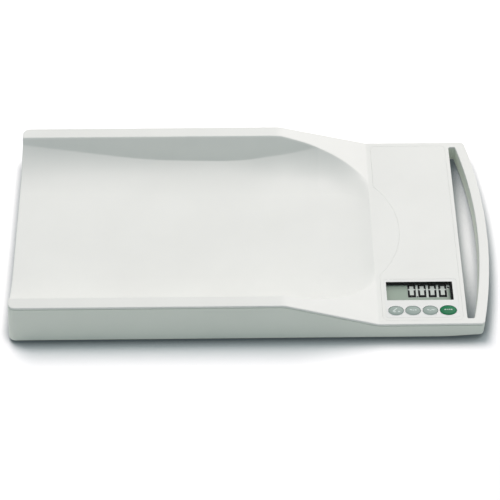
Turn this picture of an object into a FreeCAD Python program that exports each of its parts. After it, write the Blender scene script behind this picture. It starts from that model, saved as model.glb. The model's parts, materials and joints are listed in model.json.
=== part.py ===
import FreeCAD, Part
import math
import os

from FreeCAD import Vector

# Digital baby weighing scale. Millimetres, +Z up, origin on the floor under the middle of the body.
# X runs from the open end of the trough (left) to the grip (right), Y from front to back.

# ---- body ----
LENGTH = 600.0             # foot of the left end wall to the apex of the grip
DEPTH = 303.0              # front to back at the foot of the walls
RIM_TOP = 64.5             # height of the flat rims beside the trough
CONSOLE_TOP = 28.6         # height of the console deck
BODY_BOTTOM = 3.0          # gap under the body that the feet keep
WALL_DRAFT = 4.5           # how far the walls lean in from their foot to the rim
WALL = 2.8                 # thickness of the housing walls
FLOOR = 2.5                # thickness of the housing floor
CORNER_RADIUS = 8.5        # left corners seen from above
GRIP_CORNER_RADIUS = 5.0   # right corners seen from above
CROWN_RADIUS = 2.2         # rounding of the top edges
FOOT_EDGE_RADIUS = 3.5     # rounding of the bottom edges
RAMP_LENGTH = 114.8        # ramps from the rims down to the console
CONSOLE_LENGTH = 146.5     # foot of the ramps to the apex of the grip
RAMP_BLEND = 36.0          # radius where the ramps meet rim and console
SEAM_DROP = 3.2            # parting line below the top surface
SEAM_GROOVE = 0.6          # shadow groove at the parting line
GRIP_RISE_REACH = 60.0     # last stretch of the body, over which the underside rises
GRIP_RISE = 0.087          # slope of that rise
RISE_BLEND = 200.0         # radius where the underside starts to rise

# ---- grip ----
GRIP_BULGE = 17.2          # how far the grip bows out beyond its corners
GRIP_BAR = 12.2            # thickness of the grip bar at its middle
SLOT_REACH = 37.0          # straight edge of the finger slot to the apex of the grip
SLOT_MARGIN = 10.5         # end of the slot to the front or back of the body
SLOT_END_WIDTH = 8.5       # width of the slot at its ends
SLOT_CORNER = 2.0
SLOT_WALL = 2.5

# ---- trough ----
RIM_MARGIN = 20.5          # inner edge of a rim to the foot of the outer wall
FLOOR_MARGIN = 76.5        # edge of the trough's flat floor to the foot of the outer wall
SIDE_WALL_ANGLE = 70.0     # steep side walls, from the horizontal
TROUGH_WALL = 2.8
END_CONE_SLOPE = 0.08      # rise of the shallow bowl in the console deck
END_CHORD_HALF = 79.0      # half width of that bowl at the ramp's foot
END_REACH = 35.0           # how far the bowl reaches into the console

# ---- console cover, film, window ----
COVER_SETBACK = 6.5        # foot of the ramps to the cover
COVER_TO_SLOT = 5.5
COVER_MARGIN = 8.5         # cover to the front or back of the body
COVER_CORNER = 6.0
COVER_THICKNESS = 2.4
COVER_GROOVE = 0.6
DECK_SKIN = 1.8            # deck left under the cover
DECK_MARGIN = 2.2          # deck plate beyond the cover
FILM_THICKNESS = 0.3
FILM_MARGIN = 3.5          # film edge inside the cover edge
FILM_BEHIND_DISPLAY = 4.0
FILM_CORNER = 3.0
DISPLAY_INSET = 6.2        # cover edge to the display opening
DISPLAY_WIDTH = 82.3
DISPLAY_DEPTH = 28.6
DISPLAY_MARGIN = 38.9      # display opening to the front of the body
WINDOW_THICKNESS = 1.2
WINDOW_LAP = 2.2           # window beyond the opening in the film
FIT_GAP = 0.2              # between pieces that drop into each other

# ---- display ----
GLASS_TOP = 21.6
GLASS_THICKNESS = 2.2
GLASS_LAP = 2.4            # LCD cell beyond its visible area
DISPLAY_SIDE_STRIP = 3.8   # black strip at the right of the visible LCD
FRAME_WALL = 1.6
COLLAR_WALL = 0.8          # of the display frame where it rises inside the cover

# ---- keys ----
KEY_MARGIN = 23.2          # middle of the key row to the front of the body
KEY_INSET = {"grey_key_left": 16.1, "grey_key_middle": 36.9, "grey_key_right": 58.3, "start_key": 80.4}
GREY_KEY_SIZE = (18.4, 14.6)
START_KEY_SIZE = (20.4, 15.1)
KEY_CLEARANCE = 0.35
KEY_EDGE = 0.4             # straight edge of a key above the film
KEY_DOME = 1.0
KEY_TRAVEL = 0.8
KEY_FLANGE = 0.9           # flange beyond the key's oval
KEY_FLANGE_THICKNESS = 1.3
KEY_STEM_RADIUS = 2.0
PLUNGER_RADIUS = 1.5
PLUNGER_LENGTH = 2.9
SWITCH_SIZE = 6.2
SWITCH_HEIGHT = 4.0
RUNNING_GAP = 0.3

# ---- circuit board ----
BOARD_OVERHANG = (3.5, 0.5, 1.0)   # beyond the cover at the left, right and front
BOARD_BEHIND_DISPLAY = 12.0
BOARD_THICKNESS = 1.6
STRIP_HEIGHT = 2.5         # elastomer strips between board and LCD
STRIP_WIDTH = 2.0
BOARD_BOSS_RADIUS = 2.75
BOARD_BOSS_INSET = 4.0
BOARD_SCREW_RADIUS = 1.1
BOARD_SCREW_BITE = 5.5
BOARD_SCREW_HEAD = 1.3
CHIP_HEIGHT = 1.4
CAPACITOR_RADIUS = 2.5
CAPACITOR_HEIGHT = 4.5
CONNECTOR_SIZE = (4.2, 7.0, 4.0)
CONNECTOR_FROM_BACK = 13.5 # rearmost connector to the back edge of the board
CONNECTOR_PITCH = 9.0
CONNECTOR_INSET = 0.5
UNDER_CONNECTOR_FROM_BACK = 11.5
UNDER_CONNECTOR_SIDE = 13.0    # left of the middle of the front right load cell

# ---- feet and load cells ----
FOOT_INSET_LEFT = 45.0     # middle of a foot to the left end of the body
FOOT_INSET_RIGHT = 82.0    # middle of a foot to the apex of the grip
FOOT_MARGIN = 29.5         # middle of a foot to the front or back of the body
PAD_RADIUS = 13.0
PAD_THICKNESS = 3.0
PAD_RECESS = 1.0
PAD_EDGE = 0.8
CUP_RADIUS = 15.5
CUP_HEIGHT = 4.5
STUD_RADIUS = 5.0
FOOT_HOLE_GAP = 1.5
CELL_SIZE = 44.0
CELL_THICKNESS = 3.0
CELL_BOTTOM = 9.0
CELL_SLOT = 2.5
CELL_TONGUE = 16.0
CELL_SEAT = 7.0            # side of the square seats under a cell's corners
CELL_SCREW_RADIUS = 1.5
CELL_SCREW_HEAD = 1.8
GAUGE_SIZE = (9.0, 6.0, 0.3)

# ---- battery bay ----
CELL_AA_RADIUS = 7.1
CELL_AA_LENGTH = 50.5
AA_ROWS = 3
AA_PITCH = 15.4
BAY_FROM_GRIP = 90.0       # middle of the bay to the apex of the grip
BAY_Y = 8.0
BAY_WALL = 2.0
BAY_ROOF_GAP = 0.4
CONTACT_ROOM = 5.0         # room for the contacts at each end of the bay
CONTACT_THICKNESS = 0.5
CONTACT_WIDTH = 9.0
AA_NUB = 1.0
AA_NUB_RADIUS = 2.7
AA_GAP = 0.3               # between the two cells of a row
DOOR_THICKNESS = 2.5
DOOR_LEDGE = 4.0
DOOR_GAP = 0.3
DOOR_TAB = (9.0, 3.0, 1.3)
LEDGE_THICKNESS = 2.0
LEDGE_LAP = 3.0            # ledge beyond the door's edge
DOOR_GRIP_START = 4.0      # finger grooves on the door
DOOR_GRIP_RIDGES = 4
DOOR_GRIP_PITCH = 3.0
DOOR_GRIP_DEPTH = 0.6
THUMB_NOTCH_RADIUS = 9.0
THUMB_NOTCH_DEPTH = 1.2

# ---- fasteners, ribs, leads, label ----
SCREW_RADIUS = 1.5
SCREW_HEAD_RADIUS = 2.8
SCREW_HEAD = 2.2
SCREW_GAP = 0.05
BOSS_RADIUS = 4.0
POST_RADIUS = 4.6
SEAT_THICKNESS = 5.0
SCREW_BITE = 11.0
CONSOLE_BITE = 8.0
RIM_POST_TOP = 30.0
CONSOLE_POST_TOP = 15.0
SCREW_MARGIN = 13.5        # screws along the walls to the front or back of the body
SCREW_INSET = 14.0         # first screw to the left end of the body
SCREW_TO_FOLD = 7.5        # console screws to the foot of the ramps and to the cover's edge
BACK_SCREW_STEP = 3.0      # how much nearer the middle the screw beside the grip stands
MID_SCREW_Y = -60.0        # screw between display and battery bay
RIB_HEIGHT = 8.0
RIB_THICKNESS = 1.6
RIB_INSET = 100.0          # first cross rib to the left end of the body
RIB_MARGIN = 67.5          # ends of the cross ribs to the front or back of the body
CROSS_RIBS = 5
LEAD_RADIUS = 1.1
LEAD_BEND_SHARE = 0.45     # part of a straight run that a bend takes up
LEAD_SETBACK = {"back_left": 65.5, "back_right": 55.5, "battery": 45.5}
CELL_LEAD_INSET = 10.0     # lead beside the middle of its load cell
LABEL_SIZE = (90.0, 50.0, 0.4)
LABEL_CENTRE = (-20.0, 0.0)
TONGUE_THICKNESS = 1.6
TONGUE_LENGTH = 4.5

# ---- places worked out from the sizes ----
LEFT = -LENGTH / 2
RIGHT = LENGTH / 2
HALF = DEPTH / 2
RIM_LEFT = LEFT + WALL_DRAFT
RAMP_END = RIGHT - CONSOLE_LENGTH
RAMP_START = RAMP_END - RAMP_LENGTH
RIM_LENGTH = RAMP_START - RIM_LEFT
GRIP_RISE_X = RIGHT - GRIP_RISE_REACH
SLOT_INNER_X = RIGHT - SLOT_REACH
SLOT_HALF = HALF - SLOT_MARGIN
TROUGH_HALF = HALF - RIM_MARGIN
FLOOR_HALF = HALF - FLOOR_MARGIN
COVER_LEFT = RAMP_END + COVER_SETBACK
COVER_RIGHT = SLOT_INNER_X - COVER_TO_SLOT
COVER_HALF = HALF - COVER_MARGIN
DISPLAY_LEFT = COVER_LEFT + DISPLAY_INSET
DISPLAY_RIGHT = DISPLAY_LEFT + DISPLAY_WIDTH
DISPLAY_FRONT = DISPLAY_MARGIN - HALF
DISPLAY_BACK = DISPLAY_FRONT + DISPLAY_DEPTH
FILM_BACK = DISPLAY_BACK + FILM_BEHIND_DISPLAY
KEY_Y = KEY_MARGIN - HALF
KEY_X = {name: COVER_LEFT + inset for name, inset in KEY_INSET.items()}
BOARD_LEFT = COVER_LEFT - BOARD_OVERHANG[0]
BOARD_RIGHT = COVER_RIGHT + BOARD_OVERHANG[1]
BOARD_FRONT = -COVER_HALF - BOARD_OVERHANG[2]
BOARD_BACK = DISPLAY_BACK + BOARD_BEHIND_DISPLAY
FOOT_LEFT_X = LEFT + FOOT_INSET_LEFT
FOOT_RIGHT_X = RIGHT - FOOT_INSET_RIGHT
FOOT_Y = HALF - FOOT_MARGIN
BAY_CENTRE = (RIGHT - BAY_FROM_GRIP, BAY_Y)
CONNECTOR_BACK = BOARD_BACK - CONNECTOR_FROM_BACK
UNDER_CONNECTOR = (FOOT_RIGHT_X - UNDER_CONNECTOR_SIDE, BOARD_BACK - UNDER_CONNECTOR_FROM_BACK)
CROSS_RIB_HALF = HALF - RIB_MARGIN
FLOOR_TOP = BODY_BOTTOM + FLOOR
END_RADIUS = (END_CHORD_HALF ** 2 + END_REACH ** 2) / (2 * END_REACH)
END_CENTRE_X = RAMP_END + END_REACH - END_RADIUS
GRIP_RADIUS = (HALF ** 2 + GRIP_BULGE ** 2) / (2 * GRIP_BULGE)
GRIP_CENTRE_X = RIGHT - GRIP_RADIUS
COVER_BOTTOM = CONSOLE_TOP - COVER_THICKNESS
DECK_BOTTOM = COVER_BOTTOM - DECK_SKIN
FILM_BOTTOM = CONSOLE_TOP - FILM_THICKNESS
WINDOW_BOTTOM = FILM_BOTTOM - WINDOW_THICKNESS
GLASS_BOTTOM = GLASS_TOP - GLASS_THICKNESS
BOARD_TOP = GLASS_BOTTOM - STRIP_HEIGHT
BOARD_BOTTOM = BOARD_TOP - BOARD_THICKNESS
VISIBLE_RIGHT = DISPLAY_RIGHT - DISPLAY_SIDE_STRIP
FAR = 400.0                # beyond every face of the body


# ---- plain solids ----
def box(x0, x1, y0, y1, z0, z1):
    return Part.makeBox(x1 - x0, y1 - y0, z1 - z0, Vector(x0, y0, z0))


def cylinder(x, y, z0, z1, radius):
    return Part.makeCylinder(radius, z1 - z0, Vector(x, y, z0))


def rounded_plate(x0, x1, y0, y1, z0, z1, radius):
    plate = box(x0, x1, y0, y1, z0, z1)
    upright = [e for e in plate.Edges if abs(e.Vertexes[0].Z - e.Vertexes[-1].Z) > 1e-6]
    return plate.makeFillet(radius, upright)


def ellipse_face(x, y, z, size_x, size_y):
    curve = Part.Ellipse(Vector(x, y, z), size_x / 2, size_y / 2)
    return Part.Face(Part.Wire(curve.toShape()))


def oval(x, y, z0, z1, size_x, size_y):
    return ellipse_face(x, y, z0, size_x, size_y).extrude(Vector(0, 0, z1 - z0))


def prism_y(points, half):
    """A polygon in the XZ plane, given as (x, z) pairs, carried from front to back."""
    corners = [Vector(x, -half, z) for x, z in points]
    return Part.Face(Part.makePolygon(corners + corners[:1])).extrude(Vector(0, 2 * half, 0))


def prism_x(points, x0, x1):
    """A polygon in the YZ plane, given as (y, z) pairs, carried along the body."""
    corners = [Vector(x0, y, z) for y, z in points]
    return Part.Face(Part.makePolygon(corners + corners[:1])).extrude(Vector(x1 - x0, 0, 0))


def arc(a, middle, b):
    return Part.Arc(a, middle, b).toShape()


def line(a, b):
    return Part.LineSegment(a, b).toShape()


# ---- body envelope ----
def lean(z):
    """How far the walls have leaned in at height z."""
    return WALL_DRAFT * (z - BODY_BOTTOM) / (RIM_TOP - BODY_BOTTOM)


def side_profile(drop, raise_bottom):
    """The body seen from the front: flat rim, ramp, flat console, and the underside rising to the grip."""
    top = RIM_TOP - drop
    deck = CONSOLE_TOP - drop
    bottom = BODY_BOTTOM + raise_bottom
    slope = math.atan2(RIM_TOP - CONSOLE_TOP, RAMP_LENGTH)
    tangent = RAMP_BLEND * math.tan(slope / 2)
    dx, dz = tangent * math.cos(slope), tangent * math.sin(slope)
    sag = RAMP_BLEND * (1 / math.cos(slope / 2) - 1)
    lean_x, lean_z = sag * math.sin(slope / 2), sag * math.cos(slope / 2)

    def at(x, z):
        return Vector(x, -FAR, z)

    crest_a, crest_b = at(RAMP_START - tangent, top), at(RAMP_START + dx, top - dz)
    crest_mid = at(RAMP_START - lean_x, top - lean_z)
    dip_a, dip_b = at(RAMP_END - dx, deck + dz), at(RAMP_END + tangent, deck)
    dip_mid = at(RAMP_END + lean_x, deck + lean_z)
    start, end = at(-FAR, top), at(FAR, deck)
    rise = math.atan(GRIP_RISE)
    run = RISE_BLEND * math.tan(rise / 2)
    rise_a = at(GRIP_RISE_X - run, bottom)
    rise_b = at(GRIP_RISE_X + run * math.cos(rise), bottom + run * math.sin(rise))
    bow = RISE_BLEND * (1 / math.cos(rise / 2) - 1)
    rise_mid = at(GRIP_RISE_X - bow * math.sin(rise / 2), bottom + bow * math.cos(rise / 2))
    rise_end, foot = at(FAR, bottom + GRIP_RISE * (FAR - GRIP_RISE_X)), at(-FAR, bottom)
    wire = Part.Wire([
        line(start, crest_a), arc(crest_a, crest_mid, crest_b), line(crest_b, dip_a),
        arc(dip_a, dip_mid, dip_b), line(dip_b, end), line(end, rise_end),
        line(rise_end, rise_b), arc(rise_b, rise_mid, rise_a), line(rise_a, foot), line(foot, start),
    ])
    return Part.Face(wire).extrude(Vector(0, 2 * FAR, 0))


def walls(inset):
    """The four outer walls: three that lean in and the bowed one at the grip, moved in by inset."""
    low, high = 0.0, RIM_TOP + 10.0
    half_low, half_high = HALF - lean(low) - inset, HALF - lean(high) - inset
    left_low, left_high = LEFT + lean(low) + inset, LEFT + lean(high) + inset
    long_sides = prism_x([(-half_low, low), (half_low, low), (half_high, high), (-half_high, high)], -FAR, FAR)
    left_end = prism_y([(left_low, low), (FAR, low), (FAR, high), (left_high, high)], FAR)
    grip_side = cylinder(GRIP_CENTRE_X, 0, low, high, GRIP_RADIUS - inset)
    grip_side.rotate(Vector(GRIP_CENTRE_X, 0, 0), Vector(0, 0, 1), 180)
    return long_sides.common(left_end).common(grip_side)


def envelope(inset, drop, raise_bottom):
    """The body's outer shape, moved in by inset, lowered by drop and raised at the bottom."""
    body = walls(inset)
    left = [e for e in body.Edges if is_upright(e) and e.CenterOfMass.x < 0]
    body = body.makeFillet(CORNER_RADIUS - inset, left)
    right = [e for e in body.Edges if is_upright(e) and e.CenterOfMass.x > 0]
    body = body.makeFillet(GRIP_CORNER_RADIUS - inset, right)
    return body.common(side_profile(drop, raise_bottom))


def rounded_envelope():
    """The outer shape of the body, with its top and bottom edges rounded."""
    body = envelope(0.0, 0.0, 0.0)
    body = body.makeFillet(FOOT_EDGE_RADIUS, [e for e in outline_edges(body) if near_bottom(e)])
    return body.makeFillet(CROWN_RADIUS, [e for e in outline_edges(body) if near_top(e)])


def outline_edges(body):
    """Edges that run round the body, without the corners and the creases that cross it."""
    found = []
    for edge in body.Edges:
        centre = edge.CenterOfMass
        crosses = abs(centre.y) < 1.0 and LEFT + CORNER_RADIUS < centre.x < SLOT_INNER_X
        if not crosses and not is_upright(edge):
            found.append(edge)
    return found


def near_top(edge):
    centre = edge.CenterOfMass
    return centre.z > profile_height(centre.x) - 1.0


def near_bottom(edge):
    return edge.BoundBox.ZMax < BODY_BOTTOM + 8.0


def profile_height(x):
    if x < RAMP_START:
        return RIM_TOP
    if x > RAMP_END:
        return CONSOLE_TOP
    return RIM_TOP - (x - RAMP_START) * (RIM_TOP - CONSOLE_TOP) / RAMP_LENGTH


def is_upright(edge):
    b = edge.BoundBox
    return b.ZLength > 2 * max(b.XLength, b.YLength)


# ---- trough ----
def trough_stations():
    """Sections of the trough as (x, floor height, half width of the flat floor, side radius)."""
    beside_rims = (
        (-0.045, 33.8, 64.0), (0.03, 34.9, 65.0), (0.144, 37.0, 68.5), (0.30, 40.0, 75.0),
        (0.494, 42.6, 92.0), (0.688, 43.5, 101.0), (0.886, 43.5, 93.0), (0.976, 43.3, 74.0),
    )
    beside_ramps = (
        (0.13, 21.6, 1.0, 67.0), (0.35, 22.3, 1.0, 59.5), (0.58, 23.4, 1.0, 57.5),
        (0.75, 24.1, 0.9, 68.0), (0.90, 25.0, 0.773, 92.0),
    )
    stations = [(RIM_LEFT + along * RIM_LENGTH, RIM_TOP - depth, FLOOR_HALF, radius)
                for along, depth, radius in beside_rims]
    return stations + [(RAMP_START + along * RAMP_LENGTH, height, FLOOR_HALF * share, radius)
                       for along, height, share, radius in beside_ramps]


def section_height(y, floor, flat, radius, offset):
    """Height of a trough section at y: flat floor, round side, then straight on at the side's slope."""
    side = abs(y) - flat
    floor -= offset
    radius += offset
    if side <= 0:
        return floor
    last = 0.88 * radius
    reach = min(side, last)
    height = floor + radius - math.sqrt(radius ** 2 - reach ** 2)
    return height + (side - reach) * last / math.sqrt(radius ** 2 - last ** 2)


def cone_height(x, y, offset):
    """Height of the shallow bowl that ends the trough in the console deck."""
    inside = END_RADIUS - math.hypot(x - END_CENTRE_X, y)
    return CONSOLE_TOP - inside * END_CONE_SLOPE - offset


def trough_surface(offset):
    span = TROUGH_HALF + 9.0
    steps = 24
    ys = [span * (2 * i / steps - 1) for i in range(steps + 1)]
    rows = []
    for x, floor, flat, radius in trough_stations():
        rows.append([Vector(x, y, section_height(y, floor, flat, radius, offset)) for y in ys])
    for x in (RAMP_END, RAMP_END + 14.0, RAMP_END + 28.0, RAMP_END + 42.0):
        rows.append([Vector(x, y, cone_height(x, y, offset)) for y in ys])
    surface = Part.BSplineSurface()
    surface.interpolate(rows)
    return surface


def trough_void(offset):
    """Everything above the trough's surface and between its steep side walls, grown by offset."""
    above = trough_surface(offset).toShape().extrude(Vector(0, 0, FAR / 4))
    slope = math.tan(math.radians(SIDE_WALL_ANGLE))
    grow = offset / math.sin(math.radians(SIDE_WALL_ANGLE))
    low, high = BODY_BOTTOM, RIM_TOP + 20.0

    def half_at(z):
        return TROUGH_HALF + grow - (RIM_TOP - z) / slope

    section = [(-half_at(low), low), (half_at(low), low), (half_at(high), high), (-half_at(high), high)]
    return above.common(prism_x(section, -FAR, FAR))


# ---- grip slot ----
def slot_solid(grow, z0, z1):
    """The finger slot: straight on the console side, bowed on the grip side."""
    apex = RIGHT - GRIP_BAR + grow
    half = SLOT_HALF + grow
    inner = SLOT_INNER_X - grow
    end_x = inner + SLOT_END_WIDTH + 2 * grow
    a, b = Vector(inner, -half, z0), Vector(end_x, -half, z0)
    c, d = Vector(end_x, half, z0), Vector(inner, half, z0)
    wire = Part.Wire([line(a, b), arc(b, Vector(apex, 0, z0), c), line(c, d), line(d, a)])
    solid = Part.Face(wire).extrude(Vector(0, 0, z1 - z0))
    return solid.makeFillet(SLOT_CORNER + grow, [e for e in solid.Edges if is_upright(e)])


# ---- shells ----
def cover_outline(grow, z0, z1):
    """The console cover seen from above, with its round bite along the end of the trough."""
    plate = rounded_plate(COVER_LEFT - grow, COVER_RIGHT + grow, -COVER_HALF - grow, COVER_HALF + grow,
                          z0, z1, COVER_CORNER + grow)
    return plate.cut(cylinder(END_CENTRE_X, 0, z0, z1, END_RADIUS + COVER_GROOVE - grow))


def key_size(name):
    return START_KEY_SIZE if name == "start_key" else GREY_KEY_SIZE


def key_oval(name, grow, z0, z1):
    size_x, size_y = key_size(name)
    return oval(KEY_X[name], KEY_Y, z0, z1, size_x + 2 * grow, size_y + 2 * grow)


def screw_places():
    """Housing screws as (x, y, top of the post, length in the boss)."""
    y = HALF - SCREW_MARGIN
    first = LEFT + SCREW_INSET
    along = (first, (first + RAMP_START) / 2, RAMP_START)
    rim = [(x, side * y, RIM_POST_TOP, SCREW_BITE) for x in along for side in (-1, 1)]
    fold, edge = RAMP_END - SCREW_TO_FOLD, COVER_RIGHT - SCREW_TO_FOLD
    console = ((fold, -y), (fold, y), (edge, y - BACK_SCREW_STEP), (edge, MID_SCREW_Y))
    return rim + [(x, y, CONSOLE_POST_TOP, CONSOLE_BITE) for x, y in console]


def board_corners():
    left, right = BOARD_LEFT + BOARD_BOSS_INSET, BOARD_RIGHT - BOARD_BOSS_INSET
    front, back = BOARD_FRONT + BOARD_BOSS_INSET, BOARD_BACK - BOARD_BOSS_INSET
    return [(x, y) for x in (left, right) for y in (front, back)]


def tray_shell(outer, inner, below, void, void_grown):
    slot_ring = outer.common(slot_solid(SLOT_WALL, -FAR, FAR))
    deck = grown((COVER_LEFT, COVER_RIGHT, -COVER_HALF, COVER_HALF), DECK_MARGIN)
    deck = box(*deck, DECK_BOTTOM, CONSOLE_TOP - WALL / 2)
    tray = outer.cut(inner).cut(below).fuse([slot_ring.cut(below), outer.common(void_grown), deck])
    for x, y, post_top, bite in screw_places():
        under = profile_height(x) - WALL / 2
        tray = tray.fuse(cylinder(x, y, post_top, under, BOSS_RADIUS))
    for x, y in board_corners():
        tray = tray.fuse(cylinder(x, y, BOARD_TOP, COVER_BOTTOM - DECK_SKIN / 2, BOARD_BOSS_RADIUS))
    tongue_top = RIM_TOP - WALL / 2
    tongue_y = HALF - lean(RIM_TOP - WALL) - WALL - RUNNING_GAP
    for side in (-1, 1):
        y = sorted((side * tongue_y, side * (tongue_y - TONGUE_THICKNESS)))
        tray = tray.fuse(box(RIM_LEFT + CORNER_RADIUS + WALL, RAMP_START - RAMP_BLEND / 2, *y,
                             RIM_TOP - WALL - TONGUE_LENGTH, tongue_top))
    tray = tray.cut(void).cut(slot_solid(0.0, -FAR, FAR))
    tray = tray.cut(cover_outline(COVER_GROOVE, COVER_BOTTOM, FAR))
    frame = frame_outline(FIT_GAP)
    tray = tray.cut(box(*frame, DECK_BOTTOM - 1.0, COVER_BOTTOM + 1.0))
    for name in KEY_X:
        tray = tray.cut(key_oval(name, KEY_FLANGE + KEY_CLEARANCE, DECK_BOTTOM - 1.0, COVER_BOTTOM + 1.0))
    for x, y, post_top, bite in screw_places():
        tray = tray.cut(cylinder(x, y, post_top - 1.0, post_top + bite + 0.5, SCREW_RADIUS + SCREW_GAP))
    for x, y in board_corners():
        tray = tray.cut(cylinder(x, y, BOARD_TOP - 1.0, BOARD_TOP + BOARD_SCREW_BITE + 0.3,
                                 BOARD_SCREW_RADIUS + SCREW_GAP))
    return tray.removeSplitter()


def bay_inner():
    """The inside of the battery bay as (x0, x1, y0, y1)."""
    x, y = BAY_CENTRE
    half_x = AA_ROWS * AA_PITCH / 2 + FIT_GAP
    half_y = AA_GAP / 2 + CELL_AA_LENGTH + CONTACT_ROOM
    return x - half_x, x + half_x, y - half_y, y + half_y


def grown(rectangle, by):
    x0, x1, y0, y1 = rectangle
    return x0 - by, x1 + by, y0 - by, y1 + by


def bay_roof():
    return aa_axis_z() + CELL_AA_RADIUS + BAY_ROOF_GAP


def aa_axis_z():
    return FLOOR_TOP + FIT_GAP + CELL_AA_RADIUS


def foot_places():
    return {
        "front_left": (FOOT_LEFT_X, -FOOT_Y), "front_right": (FOOT_RIGHT_X, -FOOT_Y),
        "back_left": (FOOT_LEFT_X, FOOT_Y), "back_right": (FOOT_RIGHT_X, FOOT_Y),
    }


def door_tab_centres():
    x0, x1, _, _ = bay_inner()
    return x0 + DOOR_TAB[0], x1 - DOOR_TAB[0]


def base_shell(outer, inner, below, void_grown):
    groove_band = below.cut(side_profile(SEAM_DROP + SEAM_GROOVE, -FAR / 4))
    skin = outer.cut(inner).common(below)
    rind = outer.cut(envelope(SEAM_GROOVE, -FAR / 8, -FAR / 8))
    groove = rind.common(groove_band)
    lip_groove = rind.common(trough_void(TROUGH_WALL + SEAM_GROOVE))
    slot_ring = outer.common(slot_solid(SLOT_WALL, -FAR, FAR)).common(below)
    base = skin.fuse(slot_ring).cut(groove)
    additions = []
    seat_z = CELL_BOTTOM
    well = CUP_RADIUS + FOOT_HOLE_GAP
    for x, y in foot_places().values():
        additions.append(cylinder(x, y, FLOOR_TOP - 0.5, seat_z - 0.5, well + RIB_THICKNESS))
        for dx in (-1, 1):
            for dy in (-1, 1):
                cx, cy = x + dx * (CELL_SIZE - CELL_SEAT) / 2, y + dy * (CELL_SIZE - CELL_SEAT) / 2
                half = CELL_SEAT / 2
                additions.append(box(cx - half, cx + half, cy - half, cy + half, FLOOR_TOP - 0.5, seat_z))
    for x, y, post_top, bite in screw_places():
        additions.append(cylinder(x, y, FLOOR_TOP - 0.5, post_top, POST_RADIUS))
    rib_top = FLOOR_TOP + RIB_HEIGHT
    half = RIB_THICKNESS / 2
    first = LEFT + RIB_INSET
    pitch = (RAMP_START - first) / (CROSS_RIBS - 1)
    for i in range(CROSS_RIBS):
        x = first + i * pitch
        additions.append(box(x - half, x + half, -CROSS_RIB_HALF, CROSS_RIB_HALF, FLOOR_TOP - 0.5, rib_top))
    for y in (-CROSS_RIB_HALF + half, 0.0, CROSS_RIB_HALF - half):
        additions.append(box(first, RAMP_START, y - half, y + half, FLOOR_TOP - 0.5, rib_top))
    bay = bay_inner()
    ledge = grown(bay, DOOR_LEDGE + LEDGE_LAP)
    additions.append(box(*ledge, FLOOR_TOP - 0.5, FLOOR_TOP + LEDGE_THICKNESS))
    additions.append(box(*grown(bay, BAY_WALL), FLOOR_TOP, bay_roof() + BAY_WALL))
    base = base.fuse(additions)
    base = base.cut(box(*bay, -FAR, bay_roof()))
    base = base.cut(box(*grown(bay, DOOR_LEDGE), -FAR, FLOOR_TOP))
    for x in door_tab_centres():
        reach = bay[2] - DOOR_LEDGE - DOOR_TAB[1] - 2 * DOOR_GAP
        base = base.cut(box(x - DOOR_TAB[0] / 2 - DOOR_GAP, x + DOOR_TAB[0] / 2 + DOOR_GAP,
                            reach, bay[2], FLOOR_TOP, FLOOR_TOP + LEDGE_THICKNESS))
    notch_y = bay[3] + DOOR_LEDGE
    base = base.cut(cylinder(BAY_CENTRE[0], notch_y, BODY_BOTTOM - 1.0, BODY_BOTTOM + THUMB_NOTCH_DEPTH,
                             THUMB_NOTCH_RADIUS))
    for x, y in foot_places().values():
        base = base.cut(cylinder(x, y, -FAR, seat_z, well))
        for sign in (-1, 1):
            offset = sign * (CELL_SIZE - CELL_SEAT) / 2
            base = base.cut(cylinder(x + offset, y + offset, FLOOR_TOP - 1.0, seat_z + 1.0,
                                     CELL_SCREW_RADIUS + SCREW_GAP))
    for x, y, post_top, bite in screw_places():
        base = base.cut(cylinder(x, y, -FAR, post_top - SEAT_THICKNESS, SCREW_HEAD_RADIUS + RUNNING_GAP))
        base = base.cut(cylinder(x, y, -FAR, post_top + 1.0, SCREW_RADIUS + FIT_GAP))
    base = base.cut(box(*label_outline(FIT_GAP), BODY_BOTTOM - 1.0, BODY_BOTTOM + LABEL_SIZE[2]))
    base = base.cut(slot_solid(0.0, -FAR, FAR))
    return base.cut(void_grown).cut(lip_groove).removeSplitter()


def label_outline(grow):
    x, y = LABEL_CENTRE
    return (x - LABEL_SIZE[0] / 2 - grow, x + LABEL_SIZE[0] / 2 + grow,
            y - LABEL_SIZE[1] / 2 - grow, y + LABEL_SIZE[1] / 2 + grow)


# ---- console ----
def film_rectangle():
    return COVER_LEFT + FILM_MARGIN, COVER_RIGHT - FILM_MARGIN, -COVER_HALF + FILM_MARGIN, FILM_BACK


def display_opening(grow):
    return DISPLAY_LEFT - grow, DISPLAY_RIGHT + grow, DISPLAY_FRONT - grow, DISPLAY_BACK + grow


def frame_outline(grow):
    """Outer rectangle of the display frame: the LCD cell with a wall round it."""
    by = GLASS_LAP + FIT_GAP + FRAME_WALL + grow
    x0, x1, y0, y1 = display_opening(0.0)
    return x0 - by, x1 + by, y0 - by, y1 + by


def console_cover():
    cover = cover_outline(0.0, COVER_BOTTOM, CONSOLE_TOP)
    cover = cover.cut(rounded_plate(*grown(film_rectangle(), FIT_GAP / 2), FILM_BOTTOM, FAR, FILM_CORNER))
    cover = cover.cut(box(*display_opening(WINDOW_LAP + FIT_GAP / 2), WINDOW_BOTTOM, FAR))
    cover = cover.cut(box(*display_opening(COLLAR_WALL + FIT_GAP), 0.0, FAR))
    for name in KEY_X:
        cover = cover.cut(key_oval(name, KEY_CLEARANCE, 0.0, FAR))
    return cover


def keypad_film():
    film = rounded_plate(*film_rectangle(), FILM_BOTTOM, CONSOLE_TOP, FILM_CORNER)
    film = film.cut(box(*display_opening(0.0), 0.0, FAR))
    for name in KEY_X:
        film = film.cut(key_oval(name, KEY_CLEARANCE, 0.0, FAR))
    return film


def display_window():
    return box(*display_opening(WINDOW_LAP), WINDOW_BOTTOM, FILM_BOTTOM)


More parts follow.
